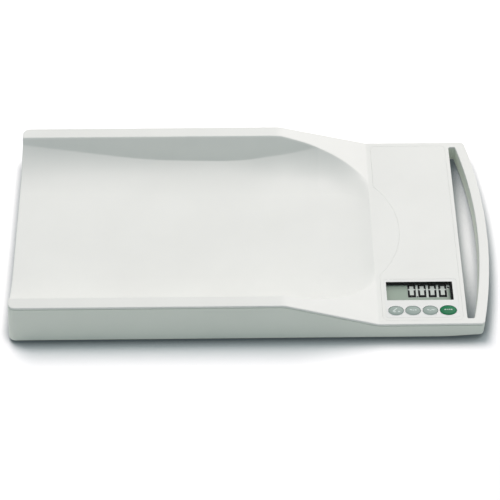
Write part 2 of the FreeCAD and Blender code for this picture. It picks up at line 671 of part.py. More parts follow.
def lcd_rectangle(grow):
    return grown((DISPLAY_LEFT, DISPLAY_RIGHT, DISPLAY_FRONT, DISPLAY_BACK), GLASS_LAP + grow)


def display_frame():
    """Black frame: a box round the LCD cell with a collar that rises to the window."""
    frame = box(*frame_outline(0.0), BOARD_TOP, COVER_BOTTOM)
    frame = frame.fuse(box(*display_opening(COLLAR_WALL), COVER_BOTTOM, WINDOW_BOTTOM - FIT_GAP / 2))
    frame = frame.cut(box(*lcd_rectangle(FIT_GAP / 2), BOARD_TOP, GLASS_TOP))
    frame = frame.cut(box(DISPLAY_LEFT, VISIBLE_RIGHT, DISPLAY_FRONT, DISPLAY_BACK, GLASS_TOP, COVER_BOTTOM))
    return frame.cut(box(DISPLAY_LEFT, DISPLAY_RIGHT, DISPLAY_FRONT, DISPLAY_BACK, COVER_BOTTOM, FAR))


def lcd_glass():
    return box(*lcd_rectangle(0.0), GLASS_BOTTOM, GLASS_TOP)


def connector_strips():
    x0, x1, y0, y1 = lcd_rectangle(-1.0)
    front = box(x0, x1, y0, y0 + STRIP_WIDTH, BOARD_TOP, GLASS_BOTTOM)
    back = box(x0, x1, y1 - STRIP_WIDTH, y1, BOARD_TOP, GLASS_BOTTOM)
    return Part.Compound([front, back])


# ---- keys ----
def key(name):
    """Oval key: rounded top, a flange that keeps it under the cover, and a stem down to its plunger."""
    top = CONSOLE_TOP + KEY_EDGE + KEY_DOME
    flange_top = COVER_BOTTOM - RUNNING_GAP
    body = key_oval(name, 0.0, flange_top - KEY_FLANGE_THICKNESS, top)
    rim = [e for e in body.Edges if e.BoundBox.ZMin > top - 0.01]
    body = body.makeFillet(KEY_DOME, rim)
    flange = key_oval(name, KEY_FLANGE, flange_top - KEY_FLANGE_THICKNESS, flange_top)
    stem = cylinder(KEY_X[name], KEY_Y, plunger_top(), flange_top - KEY_FLANGE_THICKNESS + 0.5, KEY_STEM_RADIUS)
    return body.fuse([flange, stem]).removeSplitter()


def plunger_top():
    return BOARD_TOP + SWITCH_HEIGHT + KEY_TRAVEL + RUNNING_GAP


def key_plunger(name):
    return cylinder(KEY_X[name], KEY_Y, plunger_top() - PLUNGER_LENGTH, plunger_top(), PLUNGER_RADIUS)


def key_switches():
    half = SWITCH_SIZE / 2
    well = plunger_top() - PLUNGER_LENGTH - KEY_TRAVEL - RUNNING_GAP
    switches = []
    for x in KEY_X.values():
        body = box(x - half, x + half, KEY_Y - half, KEY_Y + half, BOARD_TOP, BOARD_TOP + SWITCH_HEIGHT)
        switches.append(body.cut(cylinder(x, KEY_Y, well, FAR, PLUNGER_RADIUS + RUNNING_GAP)))
    return Part.Compound(switches)


# ---- circuit board ----
def circuit_board():
    board = box(BOARD_LEFT, BOARD_RIGHT, BOARD_FRONT, BOARD_BACK, BOARD_BOTTOM, BOARD_TOP)
    for x, y in board_corners():
        board = board.cut(cylinder(x, y, 0.0, FAR, BOARD_SCREW_RADIUS + FIT_GAP))
    return board


def board_screws():
    screws = []
    for x, y in board_corners():
        shank = cylinder(x, y, BOARD_BOTTOM, BOARD_TOP + BOARD_SCREW_BITE, BOARD_SCREW_RADIUS)
        head = cylinder(x, y, BOARD_BOTTOM - BOARD_SCREW_HEAD, BOARD_BOTTOM, 2 * BOARD_SCREW_RADIUS)
        screws.append(shank.fuse(head).removeSplitter())
    return Part.Compound(screws)


def board_chips():
    chips = []
    for inset, setback, size in ((19.5, 24.0, 10.0), (37.5, 20.0, 7.0), (89.5, 28.0, 5.0)):
        x, y, half = BOARD_LEFT + inset, BOARD_BACK - setback, size / 2
        chips.append(box(x - half, x + half, y - half, y + half, BOARD_BOTTOM - CHIP_HEIGHT, BOARD_BOTTOM))
    return Part.Compound(chips)


def board_capacitors():
    cans = []
    for inset, setback in ((11.5, 38.0), (11.5, 46.0), (27.5, 38.0)):
        x, y = BOARD_LEFT + inset, BOARD_BACK - setback
        cans.append(cylinder(x, y, BOARD_BOTTOM - CAPACITOR_HEIGHT, BOARD_BOTTOM, CAPACITOR_RADIUS))
    return Part.Compound(cans)


def connector_rows():
    names = ("battery", "back_right", "back_left", "front_left")
    return {name: CONNECTOR_BACK - CONNECTOR_PITCH * i for i, name in enumerate(names)}


def lead_connectors():
    """Four along the left edge of the board and one under it, close to the front right load cell."""
    depth, width, height = CONNECTOR_SIZE
    x = BOARD_LEFT + CONNECTOR_INSET
    row = [box(x, x + depth, y - width / 2, y + width / 2, BOARD_TOP, BOARD_TOP + height)
           for y in connector_rows().values()]
    x, y = UNDER_CONNECTOR
    under = box(x - width / 2, x + width / 2, y, y + depth, BOARD_BOTTOM - height, BOARD_BOTTOM)
    return Part.Compound(row + [under])


# ---- load cells and feet ----
def load_cell(x, y):
    """Stamped steel plate with a free tongue, screwed down at two corners."""
    half = CELL_SIZE / 2
    top = CELL_BOTTOM + CELL_THICKNESS
    plate = rounded_plate(x - half, x + half, y - half, y + half, CELL_BOTTOM, top, 3.0)
    slot_half = CELL_TONGUE / 2
    reach = half - CELL_SEAT
    for side in (-1, 1):
        edge = sorted((y + side * slot_half, y + side * (slot_half + CELL_SLOT)))
        plate = plate.cut(box(x - reach, x + reach, *edge, 0.0, FAR))
    plate = plate.cut(box(x + reach - CELL_SLOT, x + reach, y - slot_half, y + slot_half, 0.0, FAR))
    for sign in (-1, 1):
        offset = sign * (CELL_SIZE - CELL_SEAT) / 2
        plate = plate.cut(cylinder(x + offset, y + offset, 0.0, FAR, CELL_SCREW_RADIUS + FIT_GAP))
    return plate


def strain_gauges():
    length, width, height = GAUGE_SIZE
    top = CELL_BOTTOM + CELL_THICKNESS
    return Part.Compound([box(x - length, x, y - width / 2, y + width / 2, top, top + height)
                          for x, y in foot_places().values()])


def load_cell_screws():
    top = CELL_BOTTOM + CELL_THICKNESS
    screws = []
    for x, y in foot_places().values():
        for sign in (-1, 1):
            offset = sign * (CELL_SIZE - CELL_SEAT) / 2
            shank = cylinder(x + offset, y + offset, FLOOR_TOP - 0.5, top, CELL_SCREW_RADIUS)
            head = cylinder(x + offset, y + offset, top, top + CELL_SCREW_HEAD, SCREW_HEAD_RADIUS)
            screws.append(shank.fuse(head).removeSplitter())
    return Part.Compound(screws)


def foot_cup(x, y):
    bottom = PAD_THICKNESS - PAD_RECESS
    cup = cylinder(x, y, bottom, bottom + CUP_HEIGHT, CUP_RADIUS)
    cup = cup.fuse(cylinder(x, y, bottom + CUP_HEIGHT - 0.5, CELL_BOTTOM, STUD_RADIUS))
    return cup.cut(cylinder(x, y, bottom - 1.0, PAD_THICKNESS, PAD_RADIUS + FIT_GAP / 2)).removeSplitter()


def foot_pad(x, y):
    pad = cylinder(x, y, 0.0, PAD_THICKNESS, PAD_RADIUS)
    return pad.makeFillet(PAD_EDGE, [e for e in pad.Edges if e.BoundBox.ZMax < 0.01])


# ---- battery ----
def aa_rows():
    x, y = BAY_CENTRE
    first = x - (AA_ROWS - 1) * AA_PITCH / 2
    return [first + i * AA_PITCH for i in range(AA_ROWS)]


def battery_cells():
    """Six cells, two end to end in each row; neighbouring rows point opposite ways."""
    cells = []
    z = aa_axis_z()
    for row, x in enumerate(aa_rows()):
        way = 1 if row % 2 == 0 else -1
        for half in (-1, 1):
            middle = BAY_CENTRE[1] + half * (CELL_AA_LENGTH + AA_GAP) / 2
            start = middle - way * CELL_AA_LENGTH / 2
            foot, along = Vector(x, start, z), Vector(0, way, 0)
            can = Part.makeCylinder(CELL_AA_RADIUS, CELL_AA_LENGTH - AA_NUB, foot, along)
            nub = Part.makeCylinder(AA_NUB_RADIUS, CELL_AA_LENGTH, foot, along)
            cells.append(can.fuse(nub).removeSplitter())
    return Part.Compound(cells)


def battery_contacts():
    """Bent strips at both ends of every row: a foot on the bay's end wall and a bowed leaf on the cell."""
    strips = []
    x0, x1, y0, y1 = bay_inner()
    z = aa_axis_z()
    half = CONTACT_WIDTH / 2
    for x in aa_rows():
        for wall, way in ((y0, 1), (y1, -1)):
            tip = wall + way * CONTACT_ROOM
            near, far = wall + way * CONTACT_THICKNESS, tip - way * CONTACT_THICKNESS
            back = box(x - half, x + half, *sorted((wall, near)), z - half, z + half)
            leaf = box(x - half, x + half, *sorted((far, tip)), z - half, z + half)
            bridge = box(x - half, x + half, *sorted((wall, tip)), z - half, z - half + CONTACT_THICKNESS)
            strips.append(back.fuse([leaf, bridge]).removeSplitter())
    return Part.Compound(strips)


def battery_door():
    """Flat cover that hooks in at its front edge and tilts down."""
    plate = grown(bay_inner(), DOOR_LEDGE - DOOR_GAP)
    top = BODY_BOTTOM + DOOR_THICKNESS
    door = box(*plate, BODY_BOTTOM, top)
    length, reach, thickness = DOOR_TAB
    tab_bottom = FLOOR_TOP + FIT_GAP
    front = plate[2]
    for x in door_tab_centres():
        x0, x1 = x - length / 2, x + length / 2
        root = box(x0, x1, front, front + reach, top - 0.5, tab_bottom + thickness)
        hook = box(x0, x1, front - reach, front + reach, tab_bottom, tab_bottom + thickness)
        door = door.fuse([root, hook])
    x0, x1 = BAY_CENTRE[0] - THUMB_NOTCH_RADIUS, BAY_CENTRE[0] + THUMB_NOTCH_RADIUS
    half = DOOR_GRIP_PITCH / 4
    for i in range(DOOR_GRIP_RIDGES):
        y = plate[3] - DOOR_GRIP_START - i * DOOR_GRIP_PITCH
        door = door.cut(box(x0, x1, y - half, y + half, 0.0, BODY_BOTTOM + DOOR_GRIP_DEPTH))
    return door.removeSplitter()


# ---- screws, leads, label ----
def housing_screws():
    screws = []
    for x, y, post_top, bite in screw_places():
        seat = post_top - SEAT_THICKNESS
        shank = cylinder(x, y, seat, post_top + bite, SCREW_RADIUS)
        head = cylinder(x, y, seat - SCREW_HEAD, seat, SCREW_HEAD_RADIUS)
        socket = cylinder(x, y, seat - SCREW_HEAD, seat - SCREW_HEAD / 2, SCREW_RADIUS * 0.8)
        screws.append(shank.fuse(head).cut(socket).removeSplitter())
    return Part.Compound(screws)


def lead(name, points):
    """A round lead along straight runs joined by tangent arcs; prints its length and tightest bend."""
    points = [Vector(*p) for p in points]
    edges = []
    bends = []
    here = points[0]
    for before, corner, after in zip(points, points[1:], points[2:]):
        run_in, run_out = corner - before, after - corner
        turn = run_in.getAngle(run_out)
        reach = LEAD_BEND_SHARE * min(run_in.Length, run_out.Length)
        bends.append(reach / math.tan(turn / 2))
        start = corner - run_in.normalize() * reach
        end = corner + run_out.normalize() * reach
        inward = (run_out - run_in).normalize()
        middle = corner + inward * bends[-1] * (1 / math.cos(turn / 2) - 1)
        edges += [line(here, start), arc(start, middle, end)]
        here = end
    edges.append(line(here, points[-1]))
    path = Part.Wire(edges)
    along = (points[1] - points[0]).normalize()
    ring = Part.Wire(Part.Circle(points[0], along, LEAD_RADIUS).toShape())
    solid = path.makePipeShell([ring], True, False)
    share = solid.Volume / (path.Length * math.pi * LEAD_RADIUS ** 2)
    print(f"lead_{name}: {path.Length:.0f} mm, tightest bend {min(bends):.1f} mm, volume share {share:.4f}")
    return solid


def lead_routes():
    """Corners of the leads from the load cells and the battery bay to their connectors."""
    side = FOOT_Y - CELL_LEAD_INSET
    on_floor = FLOOR_TOP + FIT_GAP + LEAD_RADIUS
    at_cell = CELL_BOTTOM + CELL_THICKNESS / 2
    at_board = BOARD_TOP + CONNECTOR_SIZE[2] / 2
    under_board = BOARD_BOTTOM - CONNECTOR_SIZE[2] / 2
    cell_left = FOOT_LEFT_X + CELL_SIZE / 2
    cell_right = FOOT_RIGHT_X - CELL_SIZE / 2
    rows = connector_rows()
    end_x = BOARD_LEFT + CONNECTOR_INSET
    bay_x, bay_y = bay_inner()[0] - BAY_WALL, BAY_CENTRE[1]

    def climb(name):
        y = rows[name]
        return [(end_x - 26.0, y, on_floor), (end_x - 11.0, y, at_board), (end_x, y, at_board)]

    def drop(x, y, way):
        return [(x, y, at_cell), (x + way * 11.0, y, at_cell), (x + way * 25.0, y, on_floor)]

    def across(name, y):
        x = RAMP_END - LEAD_SETBACK[name]
        return [(x, y, on_floor), (x, rows[name], on_floor)]

    x, y = UNDER_CONNECTOR
    cell_back = -FOOT_Y + CELL_SIZE / 2
    return {
        "front_left": drop(cell_left, rows["front_left"], 1) + climb("front_left"),
        "back_left": drop(cell_left, side, 1) + across("back_left", side) + climb("back_left"),
        "back_right": drop(cell_right, side, -1) + across("back_right", side) + climb("back_right"),
        "front_right": [(x, cell_back, at_cell), (x, cell_back + 4.0, at_cell),
                        (x, y - 4.0, under_board), (x, y, under_board)],
        "battery": [(bay_x, bay_y, aa_axis_z()), (bay_x - 12.0, bay_y, aa_axis_z()),
                    (bay_x - 30.0, bay_y, on_floor)] + across("battery", bay_y) + climb("battery"),
    }


def rating_label():
    return box(*label_outline(0.0), BODY_BOTTOM, BODY_BOTTOM + LABEL_SIZE[2])


# ---- everything ----
def build():
    outer = rounded_envelope()
    inner = envelope(WALL, WALL, FLOOR)
    below = side_profile(SEAM_DROP, -FAR / 4)
    void, void_grown = trough_void(0.0), trough_void(TROUGH_WALL)
    parts = {
        "tray_shell": tray_shell(outer, inner, below, void, void_grown),
        "base_shell": base_shell(outer, inner, below, void_grown),
        "console_cover": console_cover(),
        "keypad_film": keypad_film(),
        "display_window": display_window(),
        "display_frame": display_frame(),
        "lcd_glass": lcd_glass(),
        "lcd_connector_strips": connector_strips(),
        "circuit_board": circuit_board(),
        "board_chips": board_chips(),
        "board_capacitors": board_capacitors(),
        "board_screws": board_screws(),
        "key_switches": key_switches(),
        "lead_connectors": lead_connectors(),
        "strain_gauges": strain_gauges(),
        "load_cell_screws": load_cell_screws(),
        "battery_cells": battery_cells(),
        "battery_contacts": battery_contacts(),
        "battery_door": battery_door(),
        "housing_screws": housing_screws(),
        "rating_label": rating_label(),
    }
    for name in KEY_X:
        parts[name] = key(name)
        parts[name.replace("_key", "") + "_plunger"] = key_plunger(name)
    for name, (x, y) in foot_places().items():
        parts["load_cell_" + name] = load_cell(x, y)
        parts["foot_cup_" + name] = foot_cup(x, y)
        parts["foot_pad_" + name] = foot_pad(x, y)
    for name, points in lead_routes().items():
        parts["lead_" + name] = lead(name, points)
    return parts


if __name__ == "__main__":
    os.makedirs("parts", exist_ok=True)
    for node, shape in build().items():
        solids = shape.Solids
        print(f"{node}: {len(solids)} solid(s), {shape.Volume / 1000:.2f} cm3, valid {shape.isValid()}")
        whole = solids[0] if len(solids) == 1 else Part.Compound(solids)
        whole.exportStep("parts/" + node + ".step")
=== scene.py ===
"""Looks of a digital baby weighing scale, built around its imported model.

The trough, cover, keys, display and stage are made by one operator each. Sizes are in millimetres in the
row frame: X runs from the open end of the trough to the carrying grip, Y to the back and Z up.
"""

import json
import math
from functools import lru_cache

import bmesh
import bpy
import numpy as np
from mathutils import Matrix, Vector
from mathutils.geometry import delaunay_2d_cdt


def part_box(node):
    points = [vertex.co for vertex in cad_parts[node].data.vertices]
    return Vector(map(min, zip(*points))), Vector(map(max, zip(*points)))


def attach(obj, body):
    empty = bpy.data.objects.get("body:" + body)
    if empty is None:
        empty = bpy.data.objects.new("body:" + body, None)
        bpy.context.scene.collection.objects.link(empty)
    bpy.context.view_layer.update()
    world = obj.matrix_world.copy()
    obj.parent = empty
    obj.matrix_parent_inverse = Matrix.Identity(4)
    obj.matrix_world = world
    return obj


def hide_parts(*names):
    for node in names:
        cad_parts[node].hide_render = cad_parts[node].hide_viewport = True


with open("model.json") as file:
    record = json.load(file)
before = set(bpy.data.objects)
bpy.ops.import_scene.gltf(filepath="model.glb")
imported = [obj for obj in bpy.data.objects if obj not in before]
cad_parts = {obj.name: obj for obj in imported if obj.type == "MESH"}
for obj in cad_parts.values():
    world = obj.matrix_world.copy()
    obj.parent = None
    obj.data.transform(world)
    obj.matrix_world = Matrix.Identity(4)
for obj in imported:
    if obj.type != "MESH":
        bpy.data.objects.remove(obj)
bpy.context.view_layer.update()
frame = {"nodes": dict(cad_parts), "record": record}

bl_info = {
    "name": "Baby Scale Builder",
    "version": (1, 0, 0),
    "blender": (4, 5, 0),
    "location": "View3D > Sidebar > Baby Scale",
    "description": "Builds the finished surfaces of a digital baby weighing scale piece by piece",
    "category": "Object",
}

MM = 0.001


def node_box(node):
    """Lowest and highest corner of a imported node, in millimetres."""
    low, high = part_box(node)
    return [value / MM for value in low], [value / MM for value in high]


# ---- body, in millimetres ----
COVER_LOW, COVER_HIGH = node_box("console_cover")
FILM_LOW, FILM_HIGH = node_box("keypad_film")
LEFT, RIGHT = -300.0, 300.0  # foot of the left end wall, apex of the grip
HALF = 151.5                 # half width at the foot of the walls
BODY_BOTTOM = node_box("base_shell")[0][2]
RIM_TOP = node_box("tray_shell")[1][2]
CONSOLE_TOP = COVER_HIGH[2]
WALL_DRAFT = 4.5             # the walls lean in this far from their foot to the rim
CORNER_RADIUS = 8.5          # left corners seen from above
GRIP_CORNER_RADIUS = 5.0     # right corners seen from above
CROWN = 1.1                  # rounding of the top edges
BAND = 2.3                   # height of the white band above the parting line
SEAM_DROP = 3.2              # parting line under the top surface
SEAM_GROOVE = 0.6            # shadow groove at the parting line
RAMP_LENGTH = 114.8          # ramps from the rims down to the console
CONSOLE_LENGTH = 146.5       # foot of the ramps to the apex of the grip
RAMP_END = RIGHT - CONSOLE_LENGTH
RAMP_START = RAMP_END - RAMP_LENGTH
CREST_BLEND = 36.0           # radius where the ramps leave the rims
FOLD_BLEND = 9.0             # radius where they meet the console
RIM_LEFT = LEFT + WALL_DRAFT
RIM_LENGTH = RAMP_START - RIM_LEFT
GRIP_BULGE = 17.2            # the grip bows out this far beyond its corners
GRIP_RADIUS = (HALF ** 2 + GRIP_BULGE ** 2) / (2 * GRIP_BULGE)
GRIP_CENTRE = RIGHT - GRIP_RADIUS
SLOT_REACH = 37.0            # straight edge of the finger slot to the apex of the grip
SLOT_MARGIN = 10.5           # end of the slot to the front or back of the body
SLOT_LEFT = RIGHT - SLOT_REACH
SLOT_HALF = HALF - SLOT_MARGIN
SLOT_END_WIDTH = 8.5
SLOT_CORNER = 2.0
GRIP_BAR = 12.2              # thickness of the grip at its middle
SLOT_APEX = RIGHT - GRIP_BAR

# ---- trough ----
RIM_MARGIN = 20.5            # inner edge of a rim to the foot of the outer wall
FLOOR_MARGIN = 85.5          # edge of the level floor to the foot of the outer wall
TROUGH_HALF = HALF - RIM_MARGIN
FLOOR_HALF = HALF - FLOOR_MARGIN
SIDE_SLOPE = math.tan(math.radians(70.0))
TROUGH_WALL = 2.8
BOWL_SLOPE = 0.032           # rise of the shallow bowl that ends the trough
BOWL_REACH = 35.0            # the bowl reaches this far into the console
BOWL_HALF = 79.0             # half width of the bowl at the ramps' foot
BOWL_RADIUS = (BOWL_HALF ** 2 + BOWL_REACH ** 2) / (2 * BOWL_REACH)
BOWL_CENTRE = RAMP_END + BOWL_REACH - BOWL_RADIUS

# ---- cover ----
COVER_LEFT, COVER_RIGHT = COVER_LOW[0], COVER_HIGH[0]
COVER_HALF = COVER_HIGH[1]
COVER_BOTTOM = COVER_LOW[2]
COVER_CORNER = 6.0
COVER_GROOVE = 0.6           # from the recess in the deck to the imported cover
GROOVE_ROUND = 0.12
JOIN = COVER_LEFT - 1.0      # the trough's sections end here and the level deck begins


def lean(z):
    """How far the walls have leaned in at a height."""
    return WALL_DRAFT * (z - BODY_BOTTOM) / (RIM_TOP - BODY_BOTTOM)


LEAN_ANGLE = math.atan(WALL_DRAFT / (RIM_TOP - BODY_BOTTOM))
RAMP_ANGLE = math.atan2(RIM_TOP - CONSOLE_TOP, RAMP_LENGTH)
CREST_TANGENT = CREST_BLEND * math.tan(RAMP_ANGLE / 2)
FOLD_TANGENT = FOLD_BLEND * math.tan(RAMP_ANGLE / 2)


def profile(x):
    """Height of the body's top seen from the front: level rim, ramp, level console."""
    crest = RAMP_START - CREST_TANGENT
    dip = RAMP_END + FOLD_TANGENT
    if x <= crest:
        return RIM_TOP
    if x >= dip:
        return CONSOLE_TOP
    if x < crest + CREST_BLEND * math.sin(RAMP_ANGLE):
        return RIM_TOP - CREST_BLEND + math.sqrt(CREST_BLEND ** 2 - (x - crest) ** 2)
    if x > dip - FOLD_BLEND * math.sin(RAMP_ANGLE):
        return CONSOLE_TOP + FOLD_BLEND - math.sqrt(FOLD_BLEND ** 2 - (dip - x) ** 2)
    return RIM_TOP - (x - RAMP_START) * math.tan(RAMP_ANGLE)


# ---- trough's surface ----
def trough_stations():
    """Sections of the trough as (x, floor height, half width of the level floor, side radius)."""
    # share of the rims' length, floor under the rims, side radius
    beside_rims = (
        (-0.045, 33.8, 87.5), (0.03, 34.9, 89.0), (0.144, 37.0, 94.0), (0.30, 40.0, 104.0),
        (0.494, 42.6, 129.0), (0.688, 43.5, 142.0), (0.886, 43.5, 130.0), (0.976, 43.3, 102.5),
    )
    # share of the ramps' length, floor height, share of the level floor's width, side radius
    beside_ramps = (
        (0.13, 21.2, 1.0, 92.0), (0.35, 21.4, 1.0, 80.5), (0.58, 21.8, 1.0, 77.5),
        (0.75, 22.8, 0.886, 93.5), (0.90, 24.9, 0.742, 129.0),
    )
    found = [(RIM_LEFT + along * RIM_LENGTH, RIM_TOP - depth, FLOOR_HALF, radius)
             for along, depth, radius in beside_rims]
    return found + [(RAMP_START + along * RAMP_LENGTH, height, FLOOR_HALF * share, radius)
                    for along, height, share, radius in beside_ramps]


STATIONS = trough_stations()
STATION_X = np.array([station[0] for station in STATIONS] + [RAMP_END])
FOLD_REACH = 1.8             # the fold is rounded this far to each side


def bowl_height(x, y):
    """Height of the shallow bowl that ends the trough in the console."""
    return CONSOLE_TOP - (BOWL_RADIUS - np.hypot(x - BOWL_CENTRE, y)) * BOWL_SLOPE


ARC_SHARE = 0.88             # the sides' arcs reach this share of their radius, then run out straight


def section_height(y, floor, flat, radius):
    """Height of a section with a level floor and rounded sides."""
    side = np.maximum(np.abs(y) - flat, 0.0)
    last = ARC_SHARE * radius
    reach = np.minimum(side, last)
    height = floor + radius - np.sqrt(radius ** 2 - reach ** 2)
    return height + (side - reach) * last / math.sqrt(radius ** 2 - last ** 2)


def spline_shares():
    """Matrix that turns the stations' heights into the second derivatives of a natural cubic spline."""
    n = len(STATION_X)
    step = np.diff(STATION_X)
    left, right = np.eye(n), np.zeros((n, n))
    for i in range(1, n - 1):
        left[i, i - 1], left[i, i], left[i, i + 1] = step[i - 1], 2 * (step[i - 1] + step[i]), step[i]
        right[i, i - 1] = 6 / step[i - 1]
        right[i, i] = -6 / step[i - 1] - 6 / step[i]
        right[i, i + 1] = 6 / step[i]
    return np.linalg.solve(left, right)


SPLINE = spline_shares()
RUN_OUT_STEP = 0.5           # last bit of the spline, whose slope goes on past its end


def station_shares(x):
    """Share of each station's height in the height at x, with a straight run-out past the last one."""
    if x > RAMP_END:
        last = station_shares(RAMP_END)
        return last + (x - RAMP_END) * (last - station_shares(RAMP_END - RUN_OUT_STEP)) / RUN_OUT_STEP
    i = int(np.clip(np.searchsorted(STATION_X, x) - 1, 0, len(STATION_X) - 2))
    step = STATION_X[i + 1] - STATION_X[i]
    b = (x - STATION_X[i]) / step
    a = 1.0 - b
    shares = ((a ** 3 - a) * SPLINE[i] + (b ** 3 - b) * SPLINE[i + 1]) * step ** 2 / 6
    shares[i] += a
    shares[i + 1] += b
    return shares


def smooth_step(value, low, high):
    """0 up to low and 1 from high on, with a smooth rise between."""
    t = np.clip((value - low) / (high - low), 0.0, 1.0)
    return t * t * (3 - 2 * t)


def shell_height(x, y):
    """Height of the trough's rounded shell, which meets the flatter bowl in a soft fold."""
    bowl = bowl_height(x, y)
    if x > RAMP_END + FOLD_REACH:
        return bowl
    heights = [section_height(y, *station[1:]) for station in STATIONS] + [bowl_height(RAMP_END, y)]
    trough = station_shares(x) @ np.array(heights)
    into_bowl = smooth_step(x, RAMP_END - FOLD_REACH, RAMP_END + FOLD_REACH)
    return trough * (1 - into_bowl) + bowl * into_bowl


def side_height(y):
    """Height of the trough's steep side walls."""
    return RIM_TOP - (TROUGH_HALF - np.abs(y)) * SIDE_SLOPE


def smooth_min(a, b, reach):
    """The lower of two heights, rounded over where they come within reach of each other."""
    h = np.maximum(reach - np.abs(a - b), 0.0) / reach
    return np.minimum(a, b) - h * h * reach / 4


def trough_height(x, y, crease):
    """The higher of the rounded shell and the steep sides, rounded over the crease between them."""
    y = np.asarray(y) * section_stretch(x)
    shell, side = shell_height(x, y), side_height(y)
    return -smooth_min(-shell, -side, crease)


EDGE_START = 10.0            # the trough's edge starts to bend in here, as a curve with these powers
EDGE_BEND = 3.04
EDGE_CLOSE = 1.24
EDGE_SEARCH = 5.0            # the unstretched edge lies at most this far past the trough's half width
HALVINGS = 44


def wanted_edge(x):
    """Half width of the trough's edge: along the rims, bent in beside the ramps, then round the bowl."""
    if x > RAMP_END:
        return math.sqrt(BOWL_RADIUS ** 2 - (x - BOWL_CENTRE) ** 2)
    along = max(x - EDGE_START, 0.0) / (RAMP_END - EDGE_START)
    return BOWL_HALF + (TROUGH_HALF - BOWL_HALF) * (1 - along ** EDGE_BEND) ** (1 / EDGE_CLOSE)


@lru_cache(maxsize=None)
def section_stretch(x):
    """Share by which the section at x is narrowed or widened so that its edge lies on the wanted one."""
    if x < EDGE_START:
        return 1.0
    top = profile(x)

    def reaches(y):
        shell, side = shell_height(x, np.array([y]))[0], side_height(y)
        return max(shell, side) >= top

    return root(0.0, TROUGH_HALF + EDGE_SEARCH, reaches) / wanted_edge(x)


def root(low, high, test):
    """Where test turns from false to true between low and high."""
    for _ in range(HALVINGS):
        middle = (low + high) / 2
        if test(middle):
            high = middle
        else:
            low = middle
    return (low + high) / 2


# ---- mesh making ----
WELD = 0.0005                # points closer than this become one
SLIVER = 0.0002              # shorter edges are dissolved
FILL_TOLERANCE = 1e-7
SHARP_ANGLE = math.radians(35.0)


class Form:
    """Points and faces of one piece, in millimetres, before they become a Blender mesh."""

    def __init__(self):
        self.points = []
        self.faces = []

    def row(self, points):
        """Adds points and gives their numbers."""
        start = len(self.points)
        self.points += [tuple(float(value) for value in point) for point in points]
        return list(range(start, len(self.points)))

    def level_row(self, outline, z):
        return self.row([(x, y, z) for x, y in outline])

    def bridge(self, a, b, closed=True):
        """Quads between two rows of equal length."""
        count = len(a)
        for i in range(count if closed else count - 1):
            j = (i + 1) % count
            self.faces.append((a[i], a[j], b[j], b[i]))

    def sheet(self, rows, closed=True):
        """Quads between each row and the next."""
        for a, b in zip(rows, rows[1:]):
            self.bridge(a, b, closed)

    def fill(self, *loops):
        """Triangles over what lies inside the first loop and outside the others, seen from above."""
        used = [i for loop in loops for i in loop]
        flat = [Vector(self.points[i][:2]) for i in used]
        edges, start = [], 0
        for loop in loops:
            edges += [(start + i, start + (i + 1) % len(loop)) for i in range(len(loop))]
            start += len(loop)
        points, _, faces, origin, _, _ = delaunay_2d_cdt(flat, edges, [], 0, FILL_TOLERANCE)
        rings = [np.array([self.points[i][:2] for i in loop]) for loop in loops]
        for face in faces:
            centre = sum((points[i] for i in face), Vector((0, 0))) / len(face)
            if sum(crossings(ring, centre) for ring in rings) % 2:
                self.faces.append(tuple(used[origin[i][0]] for i in face))

    def build(self, name, finish, slot, body="housing", replaces=(), thickness=0.0, weighted=True):
        """Makes the piece, lets it ride on its body and gives it its finish."""
        mesh = bpy.data.meshes.new(name)
        scaled = [tuple(value * MM for value in point) for point in self.points]
        mesh.from_pydata(scaled, [], self.faces)
        shape = bmesh.new()
        shape.from_mesh(mesh)
        bmesh.ops.remove_doubles(shape, verts=shape.verts, dist=WELD * MM)
        bmesh.ops.dissolve_degenerate(shape, edges=shape.edges, dist=SLIVER * MM)
        bmesh.ops.recalc_face_normals(shape, faces=shape.faces)
        widest = max(shape.faces, key=lambda face: face.calc_area() * abs(face.normal.z))
        if thickness and widest.normal.z < 0:
            bmesh.ops.reverse_faces(shape, faces=shape.faces)
        for face in shape.faces:
            face.smooth = True
        shape.to_mesh(mesh)
        shape.free()
        mesh.set_sharp_from_angle(angle=SHARP_ANGLE)
        piece = bpy.data.objects.new(name, mesh)
        bpy.context.scene.collection.objects.link(piece)
        if thickness:
            solid = piece.modifiers.new("Thickness", "SOLIDIFY")
            solid.thickness = thickness * MM
            solid.offset = -1.0
        if weighted:
            shading = piece.modifiers.new("Even shading", "WEIGHTED_NORMAL")
            shading.keep_sharp = True
        mesh.materials.append(finish)
        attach(piece, body)
        if replaces:
            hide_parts(*replaces)


def crossings(ring, point):
    """How often a ray to the right of the point crosses the ring."""
    x, y = ring[:, 0], ring[:, 1]
    next_x, next_y = np.roll(x, -1), np.roll(y, -1)
    spans = (y > point[1]) != (next_y > point[1])
    rise = np.where(spans, next_y - y, 1.0)
    at = x + (point[1] - y) * (next_x - x) / rise
    return int(np.count_nonzero(spans & (at > point[0])))


def arc_points(centre_x, centre_y, radius, start, end, steps):
    angles = [math.radians(start + (end - start) * i / steps) for i in range(steps + 1)]
    return [(centre_x + radius * math.cos(a), centre_y + radius * math.sin(a)) for a in angles]


def rounded_rectangle(x0, x1, y0, y1, radius, steps=8):
    corners = ((x1 - radius, y0 + radius, -90), (x1 - radius, y1 - radius, 0),
               (x0 + radius, y1 - radius, 90), (x0 + radius, y0 + radius, 180))
    return [point for x, y, start in corners for point in arc_points(x, y, radius, start, start + 90, steps)]


def ellipse(centre, size_x, size_y, steps=72):
    angles = [2 * math.pi * i / steps for i in range(steps)]
    return [(centre[0] + size_x / 2 * math.cos(a), centre[1] + size_y / 2 * math.sin(a)) for a in angles]


